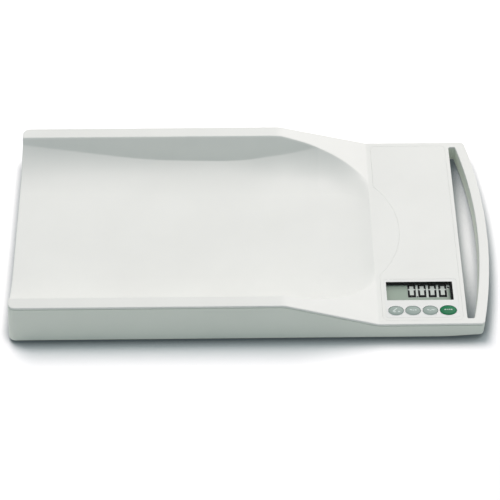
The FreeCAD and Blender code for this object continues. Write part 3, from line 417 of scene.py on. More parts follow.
def cover_outline(grow, shares, bite_grow=None, steps=10):
    """The cover seen from above: the straight sides first, then the bite along the bowl, back to front."""
    radius = BOWL_RADIUS + COVER_GROOVE - (grow if bite_grow is None else bite_grow)
    left = COVER_LEFT - grow
    reach = math.asin(math.sqrt(radius ** 2 - (left - BOWL_CENTRE) ** 2) / radius)
    corner = rounded_rectangle(left, COVER_RIGHT + grow, -COVER_HALF - grow, COVER_HALF + grow,
                               COVER_CORNER + grow, steps)
    front = corner[3 * (steps + 1):]
    turns = [reach * share for share in shares]
    bite = [(BOWL_CENTRE + radius * math.cos(turn), radius * math.sin(turn)) for turn in turns]
    return [bite[0]] + front + corner[:3 * (steps + 1)] + bite[:0:-1]


def slot_outline(grow, steps=6, long_steps=60):
    """The finger slot seen from above: straight on the console side, bowed on the grip side."""
    left, half = SLOT_LEFT - grow, SLOT_HALF + grow
    end = left + SLOT_END_WIDTH + 2 * grow
    apex = SLOT_APEX + grow
    radius = (half ** 2 + (apex - end) ** 2) / (2 * (apex - end))
    centre = apex - radius
    corner = SLOT_CORNER + grow
    corner_y = half - corner
    corner_x = centre + math.sqrt((radius - corner) ** 2 - corner_y ** 2)
    turn = math.degrees(math.atan2(corner_y, corner_x - centre))
    points = arc_points(left + corner, -corner_y, corner, 180, 270, steps)
    points += arc_points(corner_x, -corner_y, corner, -90, -turn, steps)
    points += arc_points(centre, 0, radius, -turn, turn, long_steps)[1:-1]
    points += arc_points(corner_x, corner_y, corner, turn, 90, steps)
    return points + arc_points(left + corner, corner_y, corner, 90, 180, steps)


# ---- upper shell ----
SHARP_CREASE = 0.01          # rounding of the crease while the trough's edge is looked for
PROBE_CREASE = 0.5           # and while the slope at the edge is measured
CREASE_ROUND = 1.6           # and in the finished surface
PROBE_STEP = 1.0
EDGE_WIDTH = 1.3             # width of the rounding along the trough's edge
LEAST_ROUND = 0.05
LEAST_DROP = 0.1
RIM_START = 3.0              # from here on past the trough's half width only the rims count
FAR_ABOVE = 30.0
FOLD_BEFORE, FOLD_AFTER = 6.0, 4.0   # stretch round the fold with closer sections
END_REACH = 80.0             # the open end's lean is taken up over this length
END_STEPS = 1200
END_WINDOW = 13
SLOT_ROUND = 1.0
POCKET_MARGIN = 3.0          # openings in the recess: wider than the display, narrower than the keys by this


def level_half(z):
    """Half width of the level top between the rounded edges, at height z."""
    return HALF - lean(z - CROWN) - CROWN / math.cos(LEAN_ANGLE)


def blend_reach(x, edge):
    """How far in height the trough's edge is rounded, so that the rounding is equally wide everywhere."""
    across = trough_height(x, np.array([edge, edge - PROBE_STEP]), PROBE_CREASE)
    ahead = x + PROBE_STEP
    along = trough_height(ahead, np.array([edge]), PROBE_CREASE) - profile(ahead) + profile(x)
    slope = math.hypot(across[0] - across[1], along[0] - across[0])
    return max(EDGE_WIDTH * slope, LEAST_ROUND)


def trough_edge(x):
    """Half width at which the trough's surface reaches the body's top."""
    return root(0.0, TROUGH_HALF + 1.0,
                lambda y: trough_height(x, np.array([y]), SHARP_CREASE)[0] >= profile(x))


def trough_crease(x, edge):
    """Half width at which the steep sides rise out of the shell."""
    stretch = section_stretch(x)
    crease = root(0.0, TROUGH_HALF,
                  lambda y: side_height(y * stretch) >= shell_height(x, np.array([y * stretch]))[0])
    return min(crease, edge)


CREASE_STEPS = (-3.0, -1.8, -1.0, -0.5, -0.2, 0.0, 0.2, 0.5, 1.0)
EDGE_STEPS = (-1.6, -1.0, -0.6, -0.3, 0.0, 0.3, 0.6, 1.0, 1.6)


def section_samples(x, outer):
    """Distances from the middle at which the section at x is sampled, closer together along its edges."""
    edge = trough_edge(x)
    crease = trough_crease(x, edge)
    inner = min(FLOOR_HALF, 0.6 * crease)
    half = list(np.linspace(0, inner, 9)) + list(np.linspace(inner, crease + CREASE_STEPS[0], 20)[1:-1])
    half += [crease + step for step in CREASE_STEPS]
    half += [edge + step for step in EDGE_STEPS]
    half += list(np.linspace(edge + EDGE_STEPS[-1], outer, 6)[1:])
    half = np.minimum(np.sort(half), outer)
    return np.concatenate([-half[:0:-1], half]), edge


def section_heights(x, ys, edge):
    """Heights of the trough and of the rims or ramps beside it."""
    top = profile(x)
    trough = trough_height(x, ys, CREASE_ROUND)
    within = np.where(np.abs(ys) < TROUGH_HALF + RIM_START, trough, top + FAR_ABOVE)
    return smooth_min(within, np.full_like(ys, top), blend_reach(x, edge))


def shell_columns():
    """Places of the sections along X, with the height of the corner's arc there."""
    start = LEFT + lean(RIM_TOP - CROWN) + CROWN / math.cos(LEAN_ANGLE)
    radius = CORNER_RADIUS - CROWN
    corner = [(start + radius * (1 - math.cos(math.radians(a))), a) for a in range(0, 91, 15)]
    crest = RAMP_START - CREST_TANGENT
    before, after = RAMP_END - FOLD_BEFORE, RAMP_END + FOLD_AFTER
    spans = (np.linspace(corner[-1][0], crest, 52), np.linspace(crest, before, 54),
             np.linspace(before, after, 21), np.linspace(after, JOIN, 3))
    return corner + [(float(x), 90.0) for span in spans for x in span[1:]]


def end_normals(ys, zs):
    """Directions out of the trough's surface at the open end, turned gently along its edges."""
    along = np.concatenate([[0.0], np.cumsum(np.hypot(np.diff(ys), np.diff(zs)))])
    steps = np.linspace(0, along[-1], END_STEPS)
    y, z = np.interp(steps, along, ys), np.interp(steps, along, zs)
    ny, nz = -np.gradient(z, steps), np.gradient(y, steps)
    window = np.ones(END_WINDOW) / END_WINDOW
    ny, nz = (np.convolve(np.pad(values, END_WINDOW // 2, mode="edge"), window, "valid")
              for values in (ny, nz))
    size = np.hypot(ny, nz)
    return np.interp(along, steps, ny / size), np.interp(along, steps, nz / size)


def console_boundary():
    """The level top's boundary from the join at the front round the grip to the join at the back."""
    half = level_half(CONSOLE_TOP)
    corner = GRIP_CORNER_RADIUS - CROWN
    corner_y = half - corner
    corner_x = GRIP_CENTRE + math.sqrt((GRIP_RADIUS - GRIP_CORNER_RADIUS) ** 2 - corner_y ** 2)
    turn = math.degrees(math.atan2(corner_y, corner_x - GRIP_CENTRE))
    front = [(x, -half, -90.0) for x in np.linspace(JOIN, corner_x, 14)[1:-1]]
    turns = [(corner_x, -corner_y, corner, -90.0 + (90.0 - turn) * i / 8) for i in range(9)]
    turns += [(GRIP_CENTRE, 0.0, GRIP_RADIUS - CROWN, -turn + 2 * turn * i / 64) for i in range(1, 64)]
    turns += [(corner_x, corner_y, corner, turn + (90.0 - turn) * i / 8) for i in range(9)]
    round_part = [(x + radius * math.cos(math.radians(a)), y + radius * math.sin(math.radians(a)), a)
                  for x, y, radius, a in turns]
    back = [(x, half, 90.0) for x in np.linspace(corner_x, JOIN, 14)[1:-1]]
    return front + round_part + back


def upper_shell_form():
    """Trough, rims, ramps, console deck and the top of the grip as one surface."""
    form = Form()
    columns = shell_columns()
    start, corner_radius = columns[0][0], CORNER_RADIUS - CROWN
    first_ys, first_edge = section_samples(start, level_half(RIM_TOP) - corner_radius)
    first_zs = section_heights(start, first_ys, first_edge)
    rows, edges, spots = [], [], []
    for x, angle in columns:
        turn = math.radians(angle)
        outer = level_half(profile(x)) - corner_radius * (1 - math.sin(turn))
        ys, edge = section_samples(x, outer)
        zs = section_heights(x, ys, edge)
        bulge = np.interp(ys, first_ys, [lean(z - CROWN) for z in first_zs]) - lean(RIM_TOP - CROWN)
        xs = x + bulge * (1 - smooth_step(x, start, start + END_REACH))
        rows.append(form.row(zip(xs, ys, zs)))
        edges.append(edge)
        spots.append((math.cos(turn), math.sin(turn)))
    form.sheet(rows, closed=False)
    # boundary of the level top as (point index, outward x, outward y, up y, up z, drop to the parting line)
    border = []
    for row, (cos_turn, sin_turn) in list(zip(rows, spots))[:0:-1]:
        border.append((row[0], -cos_turn, -sin_turn, 0.0, 1.0, SEAM_DROP))
    up_y, up_z = end_normals(first_ys, first_zs)
    for i, index in enumerate(rows[0]):
        beside = smooth_step(abs(first_ys[i]), TROUGH_HALF - 1.0, TROUGH_HALF + 2.0)
        border.append((index, -1.0, 0.0, up_y[i], up_z[i], TROUGH_WALL + (SEAM_DROP - TROUGH_WALL) * beside))
    for row, (cos_turn, sin_turn) in list(zip(rows, spots))[1:]:
        border.append((row[-1], -cos_turn, sin_turn, 0.0, 1.0, SEAM_DROP))
    console = console_boundary()
    console_row = form.row([(x, y, CONSOLE_TOP) for x, y, _ in console])
    for index, (_, _, angle) in list(zip(console_row, console))[::-1]:
        turn = math.radians(angle)
        border.append((index, math.cos(turn), math.sin(turn), 0.0, 1.0, SEAM_DROP))
    crown_band(form, border)
    column = rows[-1]
    ys = [form.points[i][1] for i in column]
    front = min(range(len(ys)), key=lambda i: abs(ys[i] + edges[-1]))
    back = len(ys) - 1 - front
    shares = [ys[i] / edges[-1] for i in range(front, back + 1)]
    shares[0], shares[-1] = -1.0, 1.0
    pocket, bowl_sides = console_pocket(form, column[front:back + 1], shares)
    slot_top = slot_rim(form)
    outline = [column[0]] + console_row + column[:back - 1:-1] + bowl_sides[1][1:-1] + pocket[::-1]
    outline += bowl_sides[0][-2:0:-1] + column[front:0:-1]
    form.fill(outline, slot_top)
    return form


def slot_rim(form):
    """Rounded edge of the finger slot and its wall down to the parting line; gives the top row."""
    rows = []
    for a in range(0, 91, 15):
        outline = slot_outline(SLOT_ROUND * (1.0 - math.sin(math.radians(a))))
        rows.append(form.level_row(outline, CONSOLE_TOP - SLOT_ROUND * (1.0 - math.cos(math.radians(a)))))
    for grow in (0.0, SEAM_GROOVE):
        rows.append(form.level_row(slot_outline(grow), CONSOLE_TOP - SEAM_DROP))
    form.sheet(rows)
    return rows[0]


def crown_band(form, border):
    """Rounded top edge and the band below it down to the parting line, all round the shell."""
    angles = [90 - (90 - math.degrees(LEAN_ANGLE)) * i / 7 for i in range(8)]
    rows = [[index for index, *_ in border]]
    for angle in angles[1:]:
        out, down = CROWN * math.cos(math.radians(angle)), CROWN * (1 - math.sin(math.radians(angle)))
        rows.append(form.row([edge_point(form, spot, out, down) for spot in border]))
    out_end, down_end = CROWN * math.cos(LEAN_ANGLE), CROWN * (1 - math.sin(LEAN_ANGLE))
    for inset, rise in ((0.0, SEAM_DROP - BAND), (SEAM_GROOVE, SEAM_DROP - BAND), (SEAM_GROOVE, 0.0)):
        points = []
        for spot in border:
            further = max(spot[5] - rise - down_end, LEAST_DROP)
            leaning = math.tan(LEAN_ANGLE) * (abs(spot[2]) if spot[1] > 0 else 1.0)
            points.append(edge_point(form, spot, out_end + further * leaning - inset, spot[5] - rise))
        rows.append(form.row(points))
    form.sheet(rows)


def edge_point(form, spot, out, down):
    """Point that lies out and down from a border point, along that point's own directions."""
    index, out_x, out_y, up_y, up_z, _ = spot
    x, y, z = form.points[index]
    return x + out * out_x, y + out * out_y - down * up_y, z - down * up_z


def console_pocket(form, column, shares):
    """The bowl's end and the cover's recess; gives the recess's straight part and the bowl's two sides."""
    top_grow = COVER_GROOVE + GROOVE_ROUND
    top = form.level_row(cover_outline(top_grow, shares), CONSOLE_TOP)
    count = len(shares)
    straight = top[:len(top) - (count - 2)]
    arc = [straight[0]] + top[:len(top) - (count - 2) - 1:-1] + [straight[-1]]
    bowl_rows = [column]
    for share in (0.2, 0.4, 0.6, 0.8, 0.93, 0.98):
        points = []
        for a, b in zip(column, arc):
            start, end = np.array(form.points[a]), np.array(form.points[b])
            x, y = (start + (end - start) * share)[:2]
            points.append((x, y, min(float(bowl_height(x, y)), CONSOLE_TOP)))
        bowl_rows.append(form.row(points))
    bowl_rows.append(arc)
    form.sheet(bowl_rows, closed=False)
    walls = [top]
    for a in (30, 60, 90):
        grow = top_grow - GROOVE_ROUND * math.sin(math.radians(a))
        z = CONSOLE_TOP - GROOVE_ROUND * (1 - math.cos(math.radians(a)))
        walls.append(form.level_row(cover_outline(grow, shares), z))
    walls.append(form.level_row(cover_outline(COVER_GROOVE, shares), COVER_BOTTOM))
    form.sheet(walls)
    holes = [form.level_row(display_outline(POCKET_MARGIN), COVER_BOTTOM)]
    holes += [form.level_row(key_outline(name, -POCKET_MARGIN), COVER_BOTTOM) for name in KEYS]
    form.fill(walls[-1], *holes)
    return straight, ([row[0] for row in bowl_rows], [row[-1] for row in bowl_rows])


# ---- finishes ----
NOISE_LOW, NOISE_HIGH = 0.3, 0.7     # nearly all of a noise lies between these


class Nodes:
    """A material's node tree, with short calls for the nodes that the finishes share."""

    def __init__(self, name):
        self.material = bpy.data.materials.new(name)
        self.material.use_nodes = True
        self.tree = self.material.node_tree
        self.shader = self.tree.nodes["Principled BSDF"]
        self.place = self.add("ShaderNodeTexCoord").outputs["Object"]

    def add(self, kind, **values):
        """New node with values for its sockets or settings."""
        node = self.tree.nodes.new(kind)
        for name, value in values.items():
            if name in node.inputs:
                node.inputs[name].default_value = value
            else:
                setattr(node, name, value)
        return node

    def link(self, output, target):
        self.tree.links.new(output, target)

    def stretched(self, stretch):
        mapping = self.add("ShaderNodeMapping", Scale=stretch)
        self.link(self.place, mapping.inputs["Vector"])
        return mapping.outputs["Vector"]

    def noise(self, scale, detail=3.0, roughness=0.5, vector=None):
        node = self.add("ShaderNodeTexNoise", Scale=scale, Detail=detail, Roughness=roughness)
        self.link(vector or self.place, node.inputs["Vector"])
        return node.outputs["Fac"]

    def ramp(self, source, low, high, start=NOISE_LOW, end=NOISE_HIGH):
        """Colour that runs from low to high while the source runs from start to end."""
        node = self.add("ShaderNodeValToRGB")
        for element, position, colour in zip(node.color_ramp.elements, (start, end), (low, high)):
            element.position = position
            element.color = (*colour, 1.0)
        self.link(source, node.inputs["Fac"])
        return node.outputs["Color"]

    def colour(self, source, base, below, above):
        """Colour of the surface, between two shades of its base colour."""
        shades = self.ramp(source, tinted(base, below), tinted(base, above))
        self.link(shades, self.shader.inputs["Base Color"])

    def roughness(self, source, low, high):
        """Roughness of the surface, between two values."""
        node = self.add("ShaderNodeMapRange")
        for i, value in enumerate((NOISE_LOW, NOISE_HIGH, low, high)):
            node.inputs[i + 1].default_value = value
        self.link(source, node.inputs[0])
        self.link(node.outputs[0], self.shader.inputs["Roughness"])

    def bump(self, height, strength, distance):
        """Fine relief of the surface; distance in millimetres."""
        node = self.add("ShaderNodeBump", Strength=strength, Distance=distance * MM)
        self.link(height, node.inputs["Height"])
        self.link(node.outputs["Normal"], self.shader.inputs["Normal"])


def tinted(colour, factor):
    return tuple(min(value * factor, 1.0) for value in colour[:3])


def moulded_plastic(name, colour, roughness=0.42, variation=0.02, grain=900.0, depth=0.01, specular=0.4):
    """Moulded plastic with a fine spark-eroded texture and faint clouding in its colour and gloss."""
    nodes = Nodes(name)
    nodes.colour(nodes.noise(9.0, 4.0, 0.55), colour, 1 - variation, 1 + variation)
    nodes.roughness(nodes.noise(60.0), roughness - 0.03, roughness + 0.03)
    nodes.bump(nodes.noise(grain, 2.0, 0.6), 0.35, depth)
    nodes.shader.inputs["Specular IOR Level"].default_value = specular
    return nodes.material


def brushed_metal(name, colour, roughness=0.32, stretch=(60.0, 900.0, 900.0)):
    """Metal with fine drawing or brushing lines."""
    nodes = Nodes(name)
    lines = nodes.noise(1.0, 5.0, 0.65, nodes.stretched(stretch))
    nodes.colour(lines, colour, 0.86, 1.1)
    nodes.roughness(lines, roughness - 0.07, roughness + 0.09)
    nodes.bump(lines, 0.3, 0.01)
    nodes.shader.inputs["Metallic"].default_value = 1.0
    return nodes.material


def rubber(name, colour, roughness=0.7):
    """Soft rubber with a matt, slightly mottled skin."""
    nodes = Nodes(name)
    mottle = nodes.noise(140.0, 4.0, 0.6)
    nodes.colour(mottle, colour, 0.8, 1.25)
    nodes.roughness(mottle, roughness - 0.08, roughness + 0.08)
    nodes.bump(nodes.noise(1500.0, 2.0), 0.4, 0.02)
    nodes.shader.inputs["Specular IOR Level"].default_value = 0.25
    return nodes.material


def circuit_lacquer(name, colour):
    """Green solder lacquer over copper tracks."""
    nodes = Nodes(name)
    tracks = nodes.add("ShaderNodeTexBrick", Scale=110.0)
    nodes.link(nodes.place, tracks.inputs["Vector"])
    for socket, factor in (("Color1", 1.0), ("Color2", 0.8), ("Mortar", 1.7)):
        tracks.inputs[socket].default_value = (*tinted(colour, factor), 1.0)
    tracks.inputs["Mortar Size"].default_value = 0.03
    nodes.link(tracks.outputs["Color"], nodes.shader.inputs["Base Color"])
    nodes.bump(tracks.outputs["Fac"], 0.3, 0.05)
    nodes.shader.inputs["Roughness"].default_value = 0.25
    return nodes.material


def display_glass(name, colour, specular=0.3):
    """The display's grey-green polariser, with a faint grain and slight clouds of tone."""
    nodes = Nodes(name)
    nodes.colour(nodes.noise(14.0, 2.0), colour, 0.97, 1.03)
    nodes.bump(nodes.noise(2500.0, 1.0), 0.1, 0.004)
    nodes.shader.inputs["Roughness"].default_value = 0.35
    nodes.shader.inputs["Specular IOR Level"].default_value = specular
    return nodes.material


def clear_window(name, colour):
    """Clear moulded window: nearly all light passes, with faint haze."""
    nodes = Nodes(name)
    nodes.colour(nodes.noise(30.0), colour, 0.96, 1.0)
    nodes.shader.inputs["Alpha"].default_value = 0.006
    nodes.shader.inputs["Specular IOR Level"].default_value = 0.05
    nodes.shader.inputs["Roughness"].default_value = 0.12
    nodes.material.blend_method = "BLEND"
    return nodes.material


# ---- settings ----
def length(name, description, default):
    return bpy.props.FloatProperty(name=name, description=description, default=default, min=0.0,
                                   unit="LENGTH")


def colour(name, description, default):
    return bpy.props.FloatVectorProperty(name=name, description=description, default=default, size=3,
                                         min=0.0, max=1.0, subtype="COLOR")


def power(name, description, default):
    return bpy.props.FloatProperty(name=name, description=description, default=default, min=0.0,
                                   unit="POWER")


class ScaleSizes(bpy.types.PropertyGroup):
    """Sizes of the pieces that are added to the housing."""

    digit_height: length("Digit height", "Height of a display digit's two halves together", 0.0244)
    digit_width: length("Digit width", "Width of a display digit", 0.0101)
    digit_pitch: length("Digit pitch", "Middle of one digit to the middle of the next", 0.01285)
    digit_stroke: length("Digit stroke", "Width of a digit's upright segments", 0.0026)
    digit_foot: length("Digit foot", "Width of a digit's level segments", 0.0036)
    key_dome: length("Key dome", "Height of a key's dome above its edge", 0.0020)
    bezel_width: length("Key bezel width", "Width of the raised white bezel round a key", 0.00062)
    bezel_height: length("Key bezel height", "Height of the raised white bezel round a key", 0.0003)
    shell_wall: length("Shell wall", "Wall thickness of the upper shell", 0.0012)


class ScaleColours(bpy.types.PropertyGroup):
    """Colours of the finishes."""

    housing: colour("Housing", "White plastic of the upper shell and the cover", (0.847, 0.867, 0.824))
    # the lower shell is the housing's white plastic; its colour is set a little darker and greener as painted
    # shade for its walls
    base: colour("Base", "White plastic of the lower shell, darker and greener as painted shade", (0.80, 0.85, 0.765))
    film: colour("Film", "Satin film round the display and the keys", (0.853, 0.871, 0.840))
    # painted highlight: the bezels are coloured whiter than the film to stand in for a highlight along the
    # keys' edges
    bezel: colour("Key bezel highlight", "Bright white of the raised bezels round the keys, a painted highlight", (0.97, 0.98, 0.97))
    display: colour("Display", "Grey-green ground of the display", (0.335, 0.42, 0.345))
    digit_field: colour("Digit field", "Paler ground behind the digits", (0.62, 0.68, 0.63))
    digits: colour("Digits", "Dark segments of the display", (0.008, 0.009, 0.010))
    start_key: colour("Start key", "Green of the start key", (0.008, 0.19, 0.074))
    grey_key: colour("Grey keys", "Grey-green of the three small keys", (0.36, 0.44, 0.40))
    key_mark: colour("Key marks", "Pale marks printed on the keys", (0.62, 0.70, 0.66))


class ScaleStage(bpy.types.PropertyGroup):
    """Floor and light."""

    floor_size: length("Floor size", "Side of the square floor", 9.0)
    lamp_colour: colour("Lamp colour", "Colour of all lamps", (1.0, 0.909, 0.904))
    main_power: power("Main light", "Power of the small light behind and above", 60.8)
    right_power: power("Right softbox", "Power of the large light behind on the right", 48.0)
    left_power: power("Left softbox", "Power of the large light behind on the left", 21.1)
    floor_power: power("Floor softbox", "Power of the large light that falls on the floor alone", 114.0)
    sky_colour: colour("Surroundings colour", "Colour of the light from all round", (0.819, 0.946, 1.0))
    sky: bpy.props.FloatProperty(name="Surroundings", description="Brightness of the plain surroundings",
                                 default=0.358, min=0.0, max=2.0)


def sizes():
    return bpy.context.scene.scale_sizes


def colours():
    return bpy.context.scene.scale_colours


# ---- building steps ----
class BuildOperator(bpy.types.Operator):
    """Builds one group of pieces."""

    bl_options = {"REGISTER", "UNDO"}

    def execute(self, context):
        self.make()
        return {"FINISHED"}


class SCALE_OT_upper_shell(BuildOperator):
    """Trough, rims, ramps, console deck and the top of the grip, in one smooth moulding"""

    bl_idname = "scale.upper_shell"
    bl_label = "Upper shell"

    def make(self):
        finish = moulded_plastic("White housing plastic", colours().housing)
        upper_shell_form().build("upper_shell", finish, "housing_white", replaces=("tray_shell",),
                                 thickness=sizes().shell_wall / MM)


# ---- cover and film ----
class SCALE_OT_cover(BuildOperator):
    """Console cover with its round bite, and the film set into it"""

    bl_idname = "scale.cover"
    bl_label = "Console cover"

    def make(self):
        finish = moulded_plastic("White cover plastic", colours().housing, roughness=0.4)
        cover_form().build("cover_plate", finish, "housing_white", replaces=("console_cover",))
        film = moulded_plastic("Satin film", colours().film, roughness=0.3, grain=1400.0, depth=0.005)
        film_form().build("control_film", film, "film", replaces=("keypad_film",))


COVER_LIFT = 0.02            # the cover's underside stays this far above its recess
EDGE_ROUND = 0.2
FINE_GROOVE = 0.09           # gap left round the cover
BITE_GROOVE = 0.07           # and along its round bite
BITE_ROUND = 0.4             # share of the rounding along the bite
FILM_CORNER = 3.0
FILM_GAP = 0.2
FILM_ROUND = 0.12
FILM_BOTTOM = FILM_LOW[2]
BITE_STEPS = 61
WINDOW_SEAT = 2.4            # the cover is open this far round the display
DISPLAY_WIDTH = 82.3
DISPLAY_DEPTH = 28.6
DISPLAY_CORNER = 0.6
DISPLAY_LEFT = COVER_LEFT + 6.2
DISPLAY_FRONT = 38.9 - HALF
DISPLAY = (DISPLAY_LEFT, DISPLAY_LEFT + DISPLAY_WIDTH, DISPLAY_FRONT, DISPLAY_FRONT + DISPLAY_DEPTH)
VISIBLE_RIGHT = DISPLAY[1] - 2.4     # a black strip covers the display beyond
COLLAR_WALL = 0.8
KEY_Y = 22.8 - HALF
KEY_CLEARANCE = 0.42
GREY_KEY_SIZE = (18.4, 13.6)
START_KEY_SIZE = (20.4, 14.4)
KEYS = {                     # middle along X, width, depth
    "grey_key_left": (COVER_LEFT + 16.1, *GREY_KEY_SIZE),
    "grey_key_middle": (COVER_LEFT + 36.9, *GREY_KEY_SIZE),
    "grey_key_right": (COVER_LEFT + 58.3, *GREY_KEY_SIZE),
    "start_key": (COVER_LEFT + 80.4, *START_KEY_SIZE),
}


def film_outline(grow):
    return rounded_rectangle(FILM_LOW[0] - grow, FILM_HIGH[0] + grow, FILM_LOW[1] - grow, FILM_HIGH[1] + grow,
                             FILM_CORNER + grow)


def display_outline(grow):
    return rounded_rectangle(DISPLAY[0] - grow, DISPLAY[1] + grow, DISPLAY[2] - grow, DISPLAY[3] + grow,
                             DISPLAY_CORNER + max(grow, 0.0), 4)


def key_outline(name, grow):
    x, size_x, size_y = KEYS[name]
    return ellipse((x, KEY_Y), size_x + 2 * grow, size_y + 2 * grow)


def rounded_wall(form, outline, z_low, z_high, edge, inward):
    """Rows of a wall from its foot to the level top, where it is rounded over towards the material."""
    rows = [form.level_row(outline(0.0), z_low)]
    for a in (0, 30, 60, 90):
        grow = inward * edge * (1 - math.cos(math.radians(a)))
        z = z_high - edge * (1 - math.sin(math.radians(a)))
        rows.append(form.level_row(outline(grow), z))
    form.sheet(rows)
    return rows


def cover_form():
    """The cover's plate with its rounded edge, the recess for the film and the openings under it."""
    form = Form()
    underside = COVER_BOTTOM + COVER_LIFT
    shares = list(np.linspace(-1.0, 1.0, BITE_STEPS))
    rim = rounded_wall(form, lambda grow: cover_outline(COVER_GROOVE - FINE_GROOVE + grow, shares,
                                                        COVER_GROOVE - BITE_GROOVE + BITE_ROUND * grow),
                       underside, CONSOLE_TOP, EDGE_ROUND, -1)
    recess = rounded_wall(form, lambda grow: film_outline(FILM_GAP + grow),
                          FILM_BOTTOM, CONSOLE_TOP, FILM_ROUND, 1)
    form.fill(rim[-1], recess[-1])
    holes = [display_outline(WINDOW_SEAT)] + [key_outline(name, KEY_CLEARANCE) for name in KEYS]
    feet, tops = [], []
    for hole in holes:
        feet.append(form.level_row(hole, underside))
        tops.append(form.level_row(hole, FILM_BOTTOM))
        form.bridge(feet[-1], tops[-1])
    form.fill(recess[0], *tops)
    form.fill(rim[0], *feet)
    return form


def film_form():
    """The film with its openings for the display and the keys."""
    form = Form()
    top = CONSOLE_TOP
    rim = rounded_wall(form, film_outline, FILM_BOTTOM, top, FILM_ROUND, -1)
    openings = [rounded_wall(form, display_outline, FILM_BOTTOM, top, FILM_ROUND, 1)]
    for name in KEYS:
        bezel = lambda grow, name=name: key_outline(name, KEY_CLEARANCE + sizes().bezel_width / MM + grow)
        openings.append(rounded_wall(form, bezel, FILM_BOTTOM, top, FILM_ROUND, 1))
    form.fill(rim[-1], *[rows[-1] for rows in openings])
    form.fill(rim[0], *[rows[0] for rows in openings])
    return form


BEZEL_GAP = 0.04             # between a bezel and the film
BEZEL_SINK = 0.05            # its edges lie this far under the film's top


def bezel_form(name):
    """Low ring, round on top, that is let into the film round a key; its bright white is a painted highlight.
    """
    form = Form()
    width, height = sizes().bezel_width / MM - BEZEL_GAP, sizes().bezel_height / MM
    rows = [form.level_row(key_outline(name, KEY_CLEARANCE), FILM_BOTTOM)]
    for i in range(9):
        angle = math.pi * i / 8
        grow = KEY_CLEARANCE + width / 2 * (1 - math.cos(angle))
        z = CONSOLE_TOP - BEZEL_SINK + height * math.sin(angle)
        rows.append(form.level_row(key_outline(name, grow), z))
    rows.append(form.level_row(key_outline(name, KEY_CLEARANCE + width), FILM_BOTTOM))
    form.sheet(rows)
    form.bridge(rows[-1], rows[0])
    return form


# ---- keys ----
class SCALE_OT_keys(BuildOperator):
    """Three grey keys and the green start key, domed, each with a plain printed mark"""

    bl_idname = "scale.keys"
    bl_label = "Keys"

    def make(self):
        green = moulded_plastic("Green key plastic", colours().start_key, roughness=0.5, specular=0.3)
        grey = moulded_plastic("Grey key plastic", colours().grey_key, roughness=0.5, specular=0.3)
        mark = moulded_plastic("Pale key print", colours().key_mark, roughness=0.45)
        # the bezels' bright white is a painted highlight round the keys
        bezel = moulded_plastic("Bezel white with painted highlight", colours().bezel, roughness=0.35)
        for name in KEYS:
            finish, slot = (green, "key_green") if name == "start_key" else (grey, "key_grey")
            key_form(name).build(name + "_cap", finish, slot, body=name, replaces=(name,), weighted=False)
            bezel_form(name).build(f"{name}_bezel", bezel, "housing_white", weighted=False)
            for i, form in enumerate(mark_forms(name)):
                form.build(f"{name}_mark_{i + 1}", mark, "label", body=name)


def key_top(name):
    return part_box(name)[1][2] / MM


def key_height(name, x, y):
    """Height of a key's dome over the share of its oval that x and y reach."""
    _, size_x, size_y = KEYS[name]
    share = min(math.hypot(2 * x / size_x, 2 * y / size_y), 1.0)
    dome = sizes().key_dome / MM
    return key_top(name) - dome * (1 - math.sqrt(max(1 - share ** 2, 0.0)))


FLANGE_WIDTH = 0.9           # flange beyond the key's oval
FLANGE_DROP = 0.9            # its top lies this far under the cover's underside
DOME_ANGLES = (90, 84, 78, 72, 64, 56, 46, 36, 26, 16, 7)


def key_form(name):
    """The key's flange under the cover, its upright edge and its dome."""
    form = Form()
    x, size_x, size_y = KEYS[name]
    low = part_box(name)[0][2] / MM
    flange_top = COVER_BOTTOM - FLANGE_DROP
    rows = [form.level_row(key_outline(name, FLANGE_WIDTH), low),
            form.level_row(key_outline(name, FLANGE_WIDTH), flange_top),
            form.level_row(key_outline(name, 0.0), flange_top)]
    for angle in DOME_ANGLES:
        share = math.sin(math.radians(angle))
        outline = ellipse((x, KEY_Y), size_x * share, size_y * share)
        z = key_height(name, size_x / 2 * share, 0.0)
        rows.append(form.level_row(outline, z))
    form.sheet(rows)
    form.fill(rows[-1])
    form.fill(rows[0])
    return form


# marks on a key as (x, y, length, angle) from the key's middle
MARKS = {
    "grey_key_left": ((-1.4, 0.4, 7.6, 44), (-1.9, -2.5, 3.0, 0), (3.6, -2.1, 3.0, 0)),
    "grey_key_middle": ((-2.4, 0.2, 3.4, -20), (0.3, -0.4, 1.3, 0), (3.2, -0.1, 2.8, 0)),
    "grey_key_right": ((-2.6, 0.0, 3.6, -28), (0.3, -0.9, 1.3, 0), (3.2, 0.1, 4.0, -8)),
    "start_key": ((-3.9, 0.2, 2.2, 0), (-1.3, 0.2, 1.6, 0), (1.3, 0.2, 1.6, 0), (3.9, 0.2, 2.2, 0)),
}
MARK_WIDTH = 1.6
MARK_RELIEF = 0.06
MARK_ROOT = 0.1              # a mark starts this far under the dome
SHORTEST_SIDE = 0.1


def mark_forms(name):
    """Short rounded dashes that follow the key's dome, standing a hair above it."""
    found = []
    for at_x, at_y, long, angle in MARKS[name]:
        form = Form()
        half = max(long - MARK_WIDTH, SHORTEST_SIDE) / 2
        side = np.linspace(-half, half, 9)[1:-1]
        outline = arc_points(half, 0, MARK_WIDTH / 2, -90, 90, 8) + [(x, MARK_WIDTH / 2) for x in side[::-1]]
        outline += arc_points(-half, 0, MARK_WIDTH / 2, 90, 270, 8) + [(x, -MARK_WIDTH / 2) for x in side]
        cos_turn, sin_turn = math.cos(math.radians(angle)), math.sin(math.radians(angle))
        low, high = [], []
        for dx, dy in outline:
            x = at_x + dx * cos_turn - dy * sin_turn
            y = at_y + dx * sin_turn + dy * cos_turn
            z = key_height(name, x, y)
            low.append((KEYS[name][0] + x, KEY_Y + y, z - MARK_ROOT))
            high.append((KEYS[name][0] + x, KEY_Y + y, z + MARK_RELIEF))
        low_row, high_row = form.row(low), form.row(high)
        form.bridge(low_row, high_row)
        form.fill(high_row)
        form.fill(low_row)
        found.append(form)
    return found


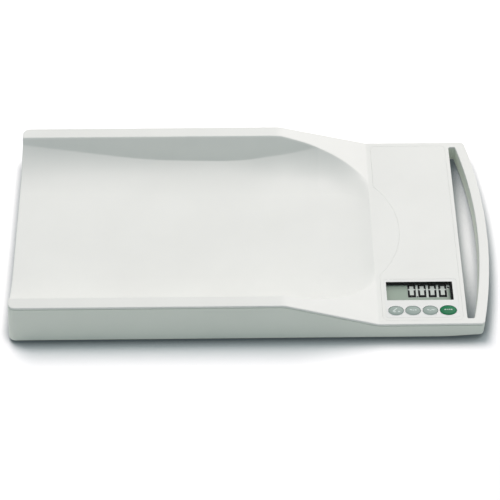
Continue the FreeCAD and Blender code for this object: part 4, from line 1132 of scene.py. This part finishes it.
# ---- display ----
class SCALE_OT_display(BuildOperator):
    """Digits on the display's glass and the paler field behind them"""

    bl_idname = "scale.display"
    bl_label = "Display"

    def make(self):
        field = display_glass("Pale digit field", colours().digit_field)
        dark = display_glass("Dark segments", colours().digits, specular=0.03)
        field_form().build("digit_field", field, "lcd")
        frame_form().build("black_frame", black_plastic(), "frame_black", replaces=("display_frame",))
        for name, form in digit_forms():
            form.build(name, dark, "frame_black")


GLASS_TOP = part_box("lcd_glass")[1][2] / MM
DIGITS = 4
FIRST_DIGIT = 198.3          # middle of the first digit along X
DIGIT_FRONT = -103.3
DIGIT_BACK = DISPLAY[3] - 0.1
SEGMENT_GAP = 0.16
SEGMENT_SLANT = 0.55         # share of the stroke by which an upright's inner corners are cut back
POINT_WIDTH, POINT_DEPTH = 1.6, 2.0
UNIT_RIGHT = VISIBLE_RIGHT - 0.1
UNIT_MARK = ((242.6, -88.6), (UNIT_RIGHT, -90.2), (UNIT_RIGHT, -88.2), (242.6, -86.4))
UNIT_FIELD_DEPTH = 7.0       # the paler field reaches on to the unit mark over this depth
FIELD_MARGIN = 0.2           # field beyond the digits at the left and the front
FIELD_RIGHT = 0.6            # and at the right
FIELD_UNDER = 0.5            # it runs under the frame this far
FIELD_LIFT = 0.03
DIGIT_LIFT = 0.09
GLASS_GAP = 0.1
GLASS_CORNER = 0.3
FRAME_CORNER = 0.6


def plate(outline, low, high):
    form = Form()
    bottom, top = form.level_row(outline, low), form.level_row(outline, high)
    form.bridge(bottom, top)
    form.fill(top)
    form.fill(bottom)
    return form


def field_form():
    """Paler ground from the first digit to just past the last one, down to their feet."""
    half = sizes().digit_width / MM / 2
    last = FIRST_DIGIT + (DIGITS - 1) * sizes().digit_pitch / MM
    x0, x1 = FIRST_DIGIT - half - FIELD_MARGIN, last + half + FIELD_RIGHT
    y0, y1 = DIGIT_FRONT - FIELD_MARGIN, DISPLAY[3] + FIELD_UNDER
    unit_front, unit_right = y1 - UNIT_FIELD_DEPTH, VISIBLE_RIGHT + FIELD_UNDER
    outline = [(x0, y0), (x1, y0), (x1, unit_front), (unit_right, unit_front), (unit_right, y1), (x0, y1)]
    return plate(outline, GLASS_TOP, GLASS_TOP + FIELD_LIFT)


def frame_form():
    """Black box round the display's glass with a collar up to the window; a dark strip shows on the right."""
    form = Form()
    (x0, y0, low), (x1, y1, high) = node_box("display_frame")
    glass_low, glass_high = node_box("lcd_glass")
    glass = rounded_rectangle(glass_low[0] - GLASS_GAP, glass_high[0] + GLASS_GAP,
                              glass_low[1] - GLASS_GAP, glass_high[1] + GLASS_GAP, GLASS_CORNER, 4)
    seen = rounded_rectangle(DISPLAY[0], VISIBLE_RIGHT, DISPLAY[2], DISPLAY[3], GLASS_CORNER, 4)
    outer = rounded_rectangle(x0, x1, y0, y1, FRAME_CORNER, 4)
    collar = rounded_rectangle(DISPLAY[0] - COLLAR_WALL, DISPLAY[1] + COLLAR_WALL, DISPLAY[2] - COLLAR_WALL,
                               DISPLAY[3] + COLLAR_WALL, FRAME_CORNER, 4)
    rows = [form.level_row(outline, z) for outline, z in (
        (glass, low), (outer, low), (outer, COVER_BOTTOM), (collar, COVER_BOTTOM), (collar, high),
        (seen, high), (seen, GLASS_TOP), (glass, GLASS_TOP))]
    form.sheet(rows + [rows[0]])
    return form


def segment_outlines(width, height, back, stroke, foot):
    """Outlines of a zero's six lit segments from its lower left corner; the frame hides them beyond back."""
    gap, half, slant = SEGMENT_GAP, height / 2, SEGMENT_SLANT * stroke

    def across(y, inner):
        return [(gap, y), (width - gap, y), (width - stroke - gap, inner), (stroke + gap, inner)]

    def upright(x, inner, y0, y1):
        return [(x, y0 + gap), (x, y1 - gap), (inner, y1 - slant), (inner, y0 + slant)]

    found = [across(0.0, foot), across(back, back - foot / 2)]
    for y0, y1 in ((0.0, half), (half, back)):
        found.append(upright(0.0, stroke, y0, y1))
        found.append(upright(width, width - stroke, y0, y1))
    return found


def digit_forms():
    """Names and forms of the digits' segments, the decimal point and the unit mark."""
    s = sizes()
    width, height, pitch = (v / MM for v in (s.digit_width, s.digit_height, s.digit_pitch))
    stroke, foot = s.digit_stroke / MM, s.digit_foot / MM
    low, high = GLASS_TOP + FIELD_LIFT, GLASS_TOP + DIGIT_LIFT
    found = []
    for digit in range(DIGITS):
        left = FIRST_DIGIT + digit * pitch - width / 2
        for i, outline in enumerate(segment_outlines(width, height, DIGIT_BACK - DIGIT_FRONT, stroke, foot)):
            placed = [(left + x, DIGIT_FRONT + y) for x, y in outline]
            found.append((f"digit_{digit + 1}_segment_{i + 1}", plate(placed, low, high)))
    point_x, half, back = FIRST_DIGIT + pitch / 2, POINT_WIDTH / 2, DIGIT_FRONT + POINT_DEPTH
    point = [(point_x - half, DIGIT_FRONT), (point_x + half, DIGIT_FRONT), (point_x + half, back),
             (point_x - half, back)]
    found.append(("decimal_point", plate(point, low, high)))
    found.append(("unit_mark", plate(UNIT_MARK, low, high)))
    return found


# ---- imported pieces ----
class SCALE_OT_finishes(BuildOperator):
    """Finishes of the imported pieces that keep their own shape"""

    bl_idname = "scale.finishes"
    bl_label = "Packed pieces"

    def make(self):
        finishes = packed_finishes()
        slots = {part["node"]: part["material_slot"] for part in frame["record"]["subparts"]}
        for name, node in frame["nodes"].items():
            node.data.materials.clear()
            node.data.materials.append(finishes[slots[name]])


def black_plastic():
    return moulded_plastic("Black frame plastic", (0.003, 0.0035, 0.004), roughness=0.6, specular=0.03)


def packed_finishes():
    c = colours()
    return {
        "housing_white": moulded_plastic("Hidden white plastic", c.housing),
        # the base colour is the white plastic with painted shade for the lower shell's walls
        "housing_grey": moulded_plastic("Base plastic with painted shade", c.base, roughness=0.46, variation=0.025, depth=0.012),
        "film": moulded_plastic("Hidden film", c.film),
        "window": clear_window("Clear window", (0.9, 0.93, 0.92)),
        "frame_black": black_plastic(),
        "lcd": display_glass("Display ground", c.display),
        "elastomer": rubber("Elastomer", (0.60, 0.57, 0.52)),
        "board": circuit_lacquer("Circuit board lacquer", (0.03, 0.17, 0.07)),
        "chips": moulded_plastic("Chip resin", (0.02, 0.02, 0.022), roughness=0.55),
        "capacitors": brushed_metal("Capacitor can", (0.62, 0.63, 0.66), 0.28),
        "screws": brushed_metal("Zinc plated steel", (0.58, 0.59, 0.60), 0.3, (700.0, 700.0, 120.0)),
        "switches": moulded_plastic("Switch resin", (0.03, 0.03, 0.03), roughness=0.4),
        "connectors": moulded_plastic("Natural nylon", (0.74, 0.70, 0.60), roughness=0.5),
        "gauges": moulded_plastic("Gauge foil", (0.55, 0.24, 0.06), roughness=0.35, variation=0.1),
        "cells": moulded_plastic("Battery sleeve", (0.05, 0.07, 0.085), roughness=0.3, variation=0.15),
        "contacts": brushed_metal("Nickel plated contacts", (0.66, 0.65, 0.62), 0.25),
        "label": moulded_plastic("Blank label", (0.72, 0.73, 0.73), roughness=0.5),
        "key_green": moulded_plastic("Hidden green key", c.start_key),
        "key_grey": moulded_plastic("Hidden grey key", c.grey_key),
        "plunger": moulded_plastic("Plunger resin", (0.30, 0.03, 0.025), roughness=0.4),
        "cell_steel": brushed_metal("Stamped steel", (0.50, 0.51, 0.53), 0.36),
        "foot_cup": moulded_plastic("Foot plastic", (0.45, 0.47, 0.46), roughness=0.5),
        "foot_pad": rubber("Foot rubber", (0.03, 0.03, 0.033)),
        "lead": rubber("Lead jacket", (0.035, 0.035, 0.038), 0.55),
    }


# ---- stage ----
class SCALE_OT_stage(BuildOperator):
    """Pale floor, soft lights, plain surroundings and the camera"""

    bl_idname = "scale.stage"
    bl_label = "Stage"

    def make(self):
        settings = bpy.context.scene.scale_stage
        sheet = floor(settings.floor_size)
        shade = settings.lamp_colour
        over_scale = [
            softbox("Main light", 45, 17, 1.2, settings.main_power, shade),
            softbox("Right softbox", 40, 53, 2.4, settings.right_power, shade),
            softbox("Left softbox", 315, 40, 2.2, settings.left_power, shade),
        ]
        over_floor = softbox("Floor softbox", 327, 25.5, 2.2, settings.floor_power, shade)
        reserve(over_scale, sheet, "EXCLUDE")
        reserve([over_floor], sheet, "INCLUDE")
        surroundings(settings.sky, settings.sky_colour)
        camera()


LAMP_DISTANCE = 4.0                  # metres, like the reach of the floor's painted shade
PAPER_LOW, PAPER_HIGH = (0.84, 0.84, 0.84), (0.86, 0.86, 0.86)
FLOOR_WHITE = (1.22, 1.22, 1.22)
FLOOR_PAINTED_SHADE = (0.17, 0.21, 0.23)      # painted shade: the floor's colour darkens towards this in narrow gaps and under the body's edge
PAINTED_SHADE_REACH = 0.0195
PAINTED_SHADE_START, PAINTED_SHADE_END = 0.5, 0.94     # the floor's painted shade runs between these shares of open surroundings
FLOOR_GLOW = 0.03


def floor(side):
    """A level sheet that shows white to the camera apart from the lamps' shadows on it and a painted shade in
    narrow gaps and under the body's edge.
    """
    mesh = bpy.data.meshes.new("floor")
    half = side / 2
    corners = [(-half, -half, 0), (half, -half, 0), (half, half, 0), (-half, half, 0)]
    mesh.from_pydata(corners, [], [(0, 1, 2, 3)])
    sheet = bpy.data.objects.new("floor", mesh)
    bpy.context.scene.collection.objects.link(sheet)
    nodes = Nodes("Pale floor")
    mottle = nodes.noise(3.0)
    paper = nodes.add("ShaderNodeBsdfDiffuse")
    nodes.link(nodes.ramp(mottle, PAPER_LOW, PAPER_HIGH), paper.inputs["Color"])
    bright = nodes.add("ShaderNodeBsdfDiffuse")
    # painted shade: an ambient occlusion node darkens the floor's colour in narrow gaps and under the body's
    # edge
    painted_shade_probe = nodes.add("ShaderNodeAmbientOcclusion", Distance=PAINTED_SHADE_REACH)
    painted_shade_probe.samples = 12
    shade = nodes.ramp(painted_shade_probe.outputs["AO"], FLOOR_PAINTED_SHADE, FLOOR_WHITE, PAINTED_SHADE_START, PAINTED_SHADE_END)
    nodes.link(shade, bright.inputs["Color"])
    glow = nodes.add("ShaderNodeEmission", Color=(1.0, 1.0, 1.0, 1.0), Strength=FLOOR_GLOW)
    seen = nodes.add("ShaderNodeAddShader")
    nodes.link(bright.outputs[0], seen.inputs[0])
    nodes.link(glow.outputs[0], seen.inputs[1])
    path = nodes.add("ShaderNodeLightPath")
    either = nodes.add("ShaderNodeMath", operation="MAXIMUM")
    nodes.link(path.outputs["Is Camera Ray"], either.inputs[0])
    nodes.link(path.outputs["Is Glossy Ray"], either.inputs[1])
    mix = nodes.add("ShaderNodeMixShader")
    nodes.link(either.outputs[0], mix.inputs[0])
    nodes.link(paper.outputs[0], mix.inputs[1])
    nodes.link(seen.outputs[0], mix.inputs[2])
    nodes.link(mix.outputs[0], nodes.tree.nodes["Material Output"].inputs["Surface"])
    nodes.tree.nodes.remove(nodes.shader)
    mesh.materials.append(nodes.material)
    return sheet


def softbox(name, bearing, tilt, size, energy, shade):
    """Round lamp aimed at the middle: bearing in degrees from the back to the right, tilt from overhead."""
    light = bpy.data.lights.new(name, "AREA")
    light.shape = "DISK"
    light.size = size
    light.energy = energy
    light.color = shade
    lamp = bpy.data.objects.new(name, light)
    turn, lean_over = math.radians(bearing), math.radians(tilt)
    away = Vector((math.sin(lean_over) * math.sin(turn), math.sin(lean_over) * math.cos(turn),
                   math.cos(lean_over)))
    lamp.location = LAMP_DISTANCE * away
    lamp.rotation_euler = (-away).to_track_quat("-Z", "Y").to_euler()
    bpy.context.scene.collection.objects.link(lamp)
    return lamp


def reserve(lamps, sheet, state):
    """Lets the lamps reach only the sheet (INCLUDE) or everything but the sheet (EXCLUDE)."""
    reached = bpy.data.collections.new(state.title() + " the floor")
    reached.objects.link(sheet)
    reached.collection_objects[0].light_linking.link_state = state
    for lamp in lamps:
        lamp.light_linking.receiver_collection = reached


def surroundings(strength, shade):
    """Even light from all round; the camera sees white."""
    world = bpy.data.worlds.new("Surroundings")
    bpy.context.scene.world = world
    world.use_nodes = True
    tree = world.node_tree
    background = tree.nodes["Background"]
    tint = tree.nodes.new("ShaderNodeMixRGB")
    tint.inputs[1].default_value = (*shade, 1.0)
    tint.inputs[2].default_value = (1.0, 1.0, 1.0, 1.0)
    tree.links.new(tint.outputs[0], background.inputs["Color"])
    path = tree.nodes.new("ShaderNodeLightPath")
    mix = tree.nodes.new("ShaderNodeMapRange")
    mix.inputs[3].default_value = strength
    mix.inputs[4].default_value = 1.0
    either = tree.nodes.new("ShaderNodeMath")
    either.operation = "MAXIMUM"
    tree.links.new(path.outputs["Is Camera Ray"], either.inputs[0])
    tree.links.new(path.outputs["Is Transmission Ray"], either.inputs[1])
    tree.links.new(either.outputs[0], mix.inputs[0])
    tree.links.new(either.outputs[0], tint.inputs[0])
    tree.links.new(mix.outputs[0], background.inputs["Strength"])


CAMERA_TARGET = (-0.00181, -0.03193, 0.0300)
CAMERA_DISTANCE = 2.22824
CAMERA_ELEVATION = math.radians(51.0)
CAMERA_YAW = -0.01578
CAMERA_ROLL = 0.00297
CAMERA_LENS = 127.33


def camera():
    """Looks down on the scale from the front, with the plain view transform."""
    view = bpy.data.cameras.new("Camera")
    view.lens = CAMERA_LENS
    view.sensor_width = 36.0
    view.clip_end = 50.0
    eye = bpy.data.objects.new("Camera", view)
    bpy.context.scene.collection.objects.link(eye)
    level = math.cos(CAMERA_ELEVATION)
    back = Vector((math.sin(CAMERA_YAW) * level, -math.cos(CAMERA_YAW) * level, math.sin(CAMERA_ELEVATION)))
    right = Vector((math.cos(CAMERA_YAW), math.sin(CAMERA_YAW), 0.0))
    up = back.cross(right)
    turned_right = math.cos(CAMERA_ROLL) * right + math.sin(CAMERA_ROLL) * up
    turned_up = -math.sin(CAMERA_ROLL) * right + math.cos(CAMERA_ROLL) * up
    place = Vector(CAMERA_TARGET) + back * CAMERA_DISTANCE
    columns = (turned_right, turned_up, back, place)
    eye.matrix_world = Matrix([[column[i] for column in columns] for i in range(3)] + [[0, 0, 0, 1]])
    scene = bpy.context.scene
    scene.camera = eye
    scene.view_settings.view_transform = "Standard"


# ---- add-on ----
OPERATORS = (
    SCALE_OT_upper_shell,
    SCALE_OT_cover,
    SCALE_OT_keys,
    SCALE_OT_display,
    SCALE_OT_finishes,
    SCALE_OT_stage,
)


class SCALE_PT_builder(bpy.types.Panel):
    """Lists the steps and the settings of the scale"""

    bl_idname = "SCALE_PT_builder"
    bl_label = "Baby Scale"
    bl_space_type = "VIEW_3D"
    bl_region_type = "UI"
    bl_category = "Baby Scale"

    def draw(self, context):
        layout = self.layout
        for operator in OPERATORS:
            layout.operator(operator.bl_idname)
        for group in (context.scene.scale_sizes, context.scene.scale_colours, context.scene.scale_stage):
            box = layout.box()
            for name in group.bl_rna.properties.keys():
                if name not in ("rna_type", "name"):
                    box.prop(group, name)


CLASSES = (ScaleSizes, ScaleColours, ScaleStage, *OPERATORS, SCALE_PT_builder)


def register():
    for cls in CLASSES:
        bpy.utils.register_class(cls)
    bpy.types.Scene.scale_sizes = bpy.props.PointerProperty(type=ScaleSizes)
    bpy.types.Scene.scale_colours = bpy.props.PointerProperty(type=ScaleColours)
    bpy.types.Scene.scale_stage = bpy.props.PointerProperty(type=ScaleStage)


def unregister():
    del bpy.types.Scene.scale_stage
    del bpy.types.Scene.scale_colours
    del bpy.types.Scene.scale_sizes
    for cls in reversed(CLASSES):
        bpy.utils.unregister_class(cls)


def main():
    register()
    for operator in OPERATORS:
        group, name = operator.bl_idname.split(".")
        getattr(getattr(bpy.ops, group), name)()


if __name__ == "__main__":
    main()
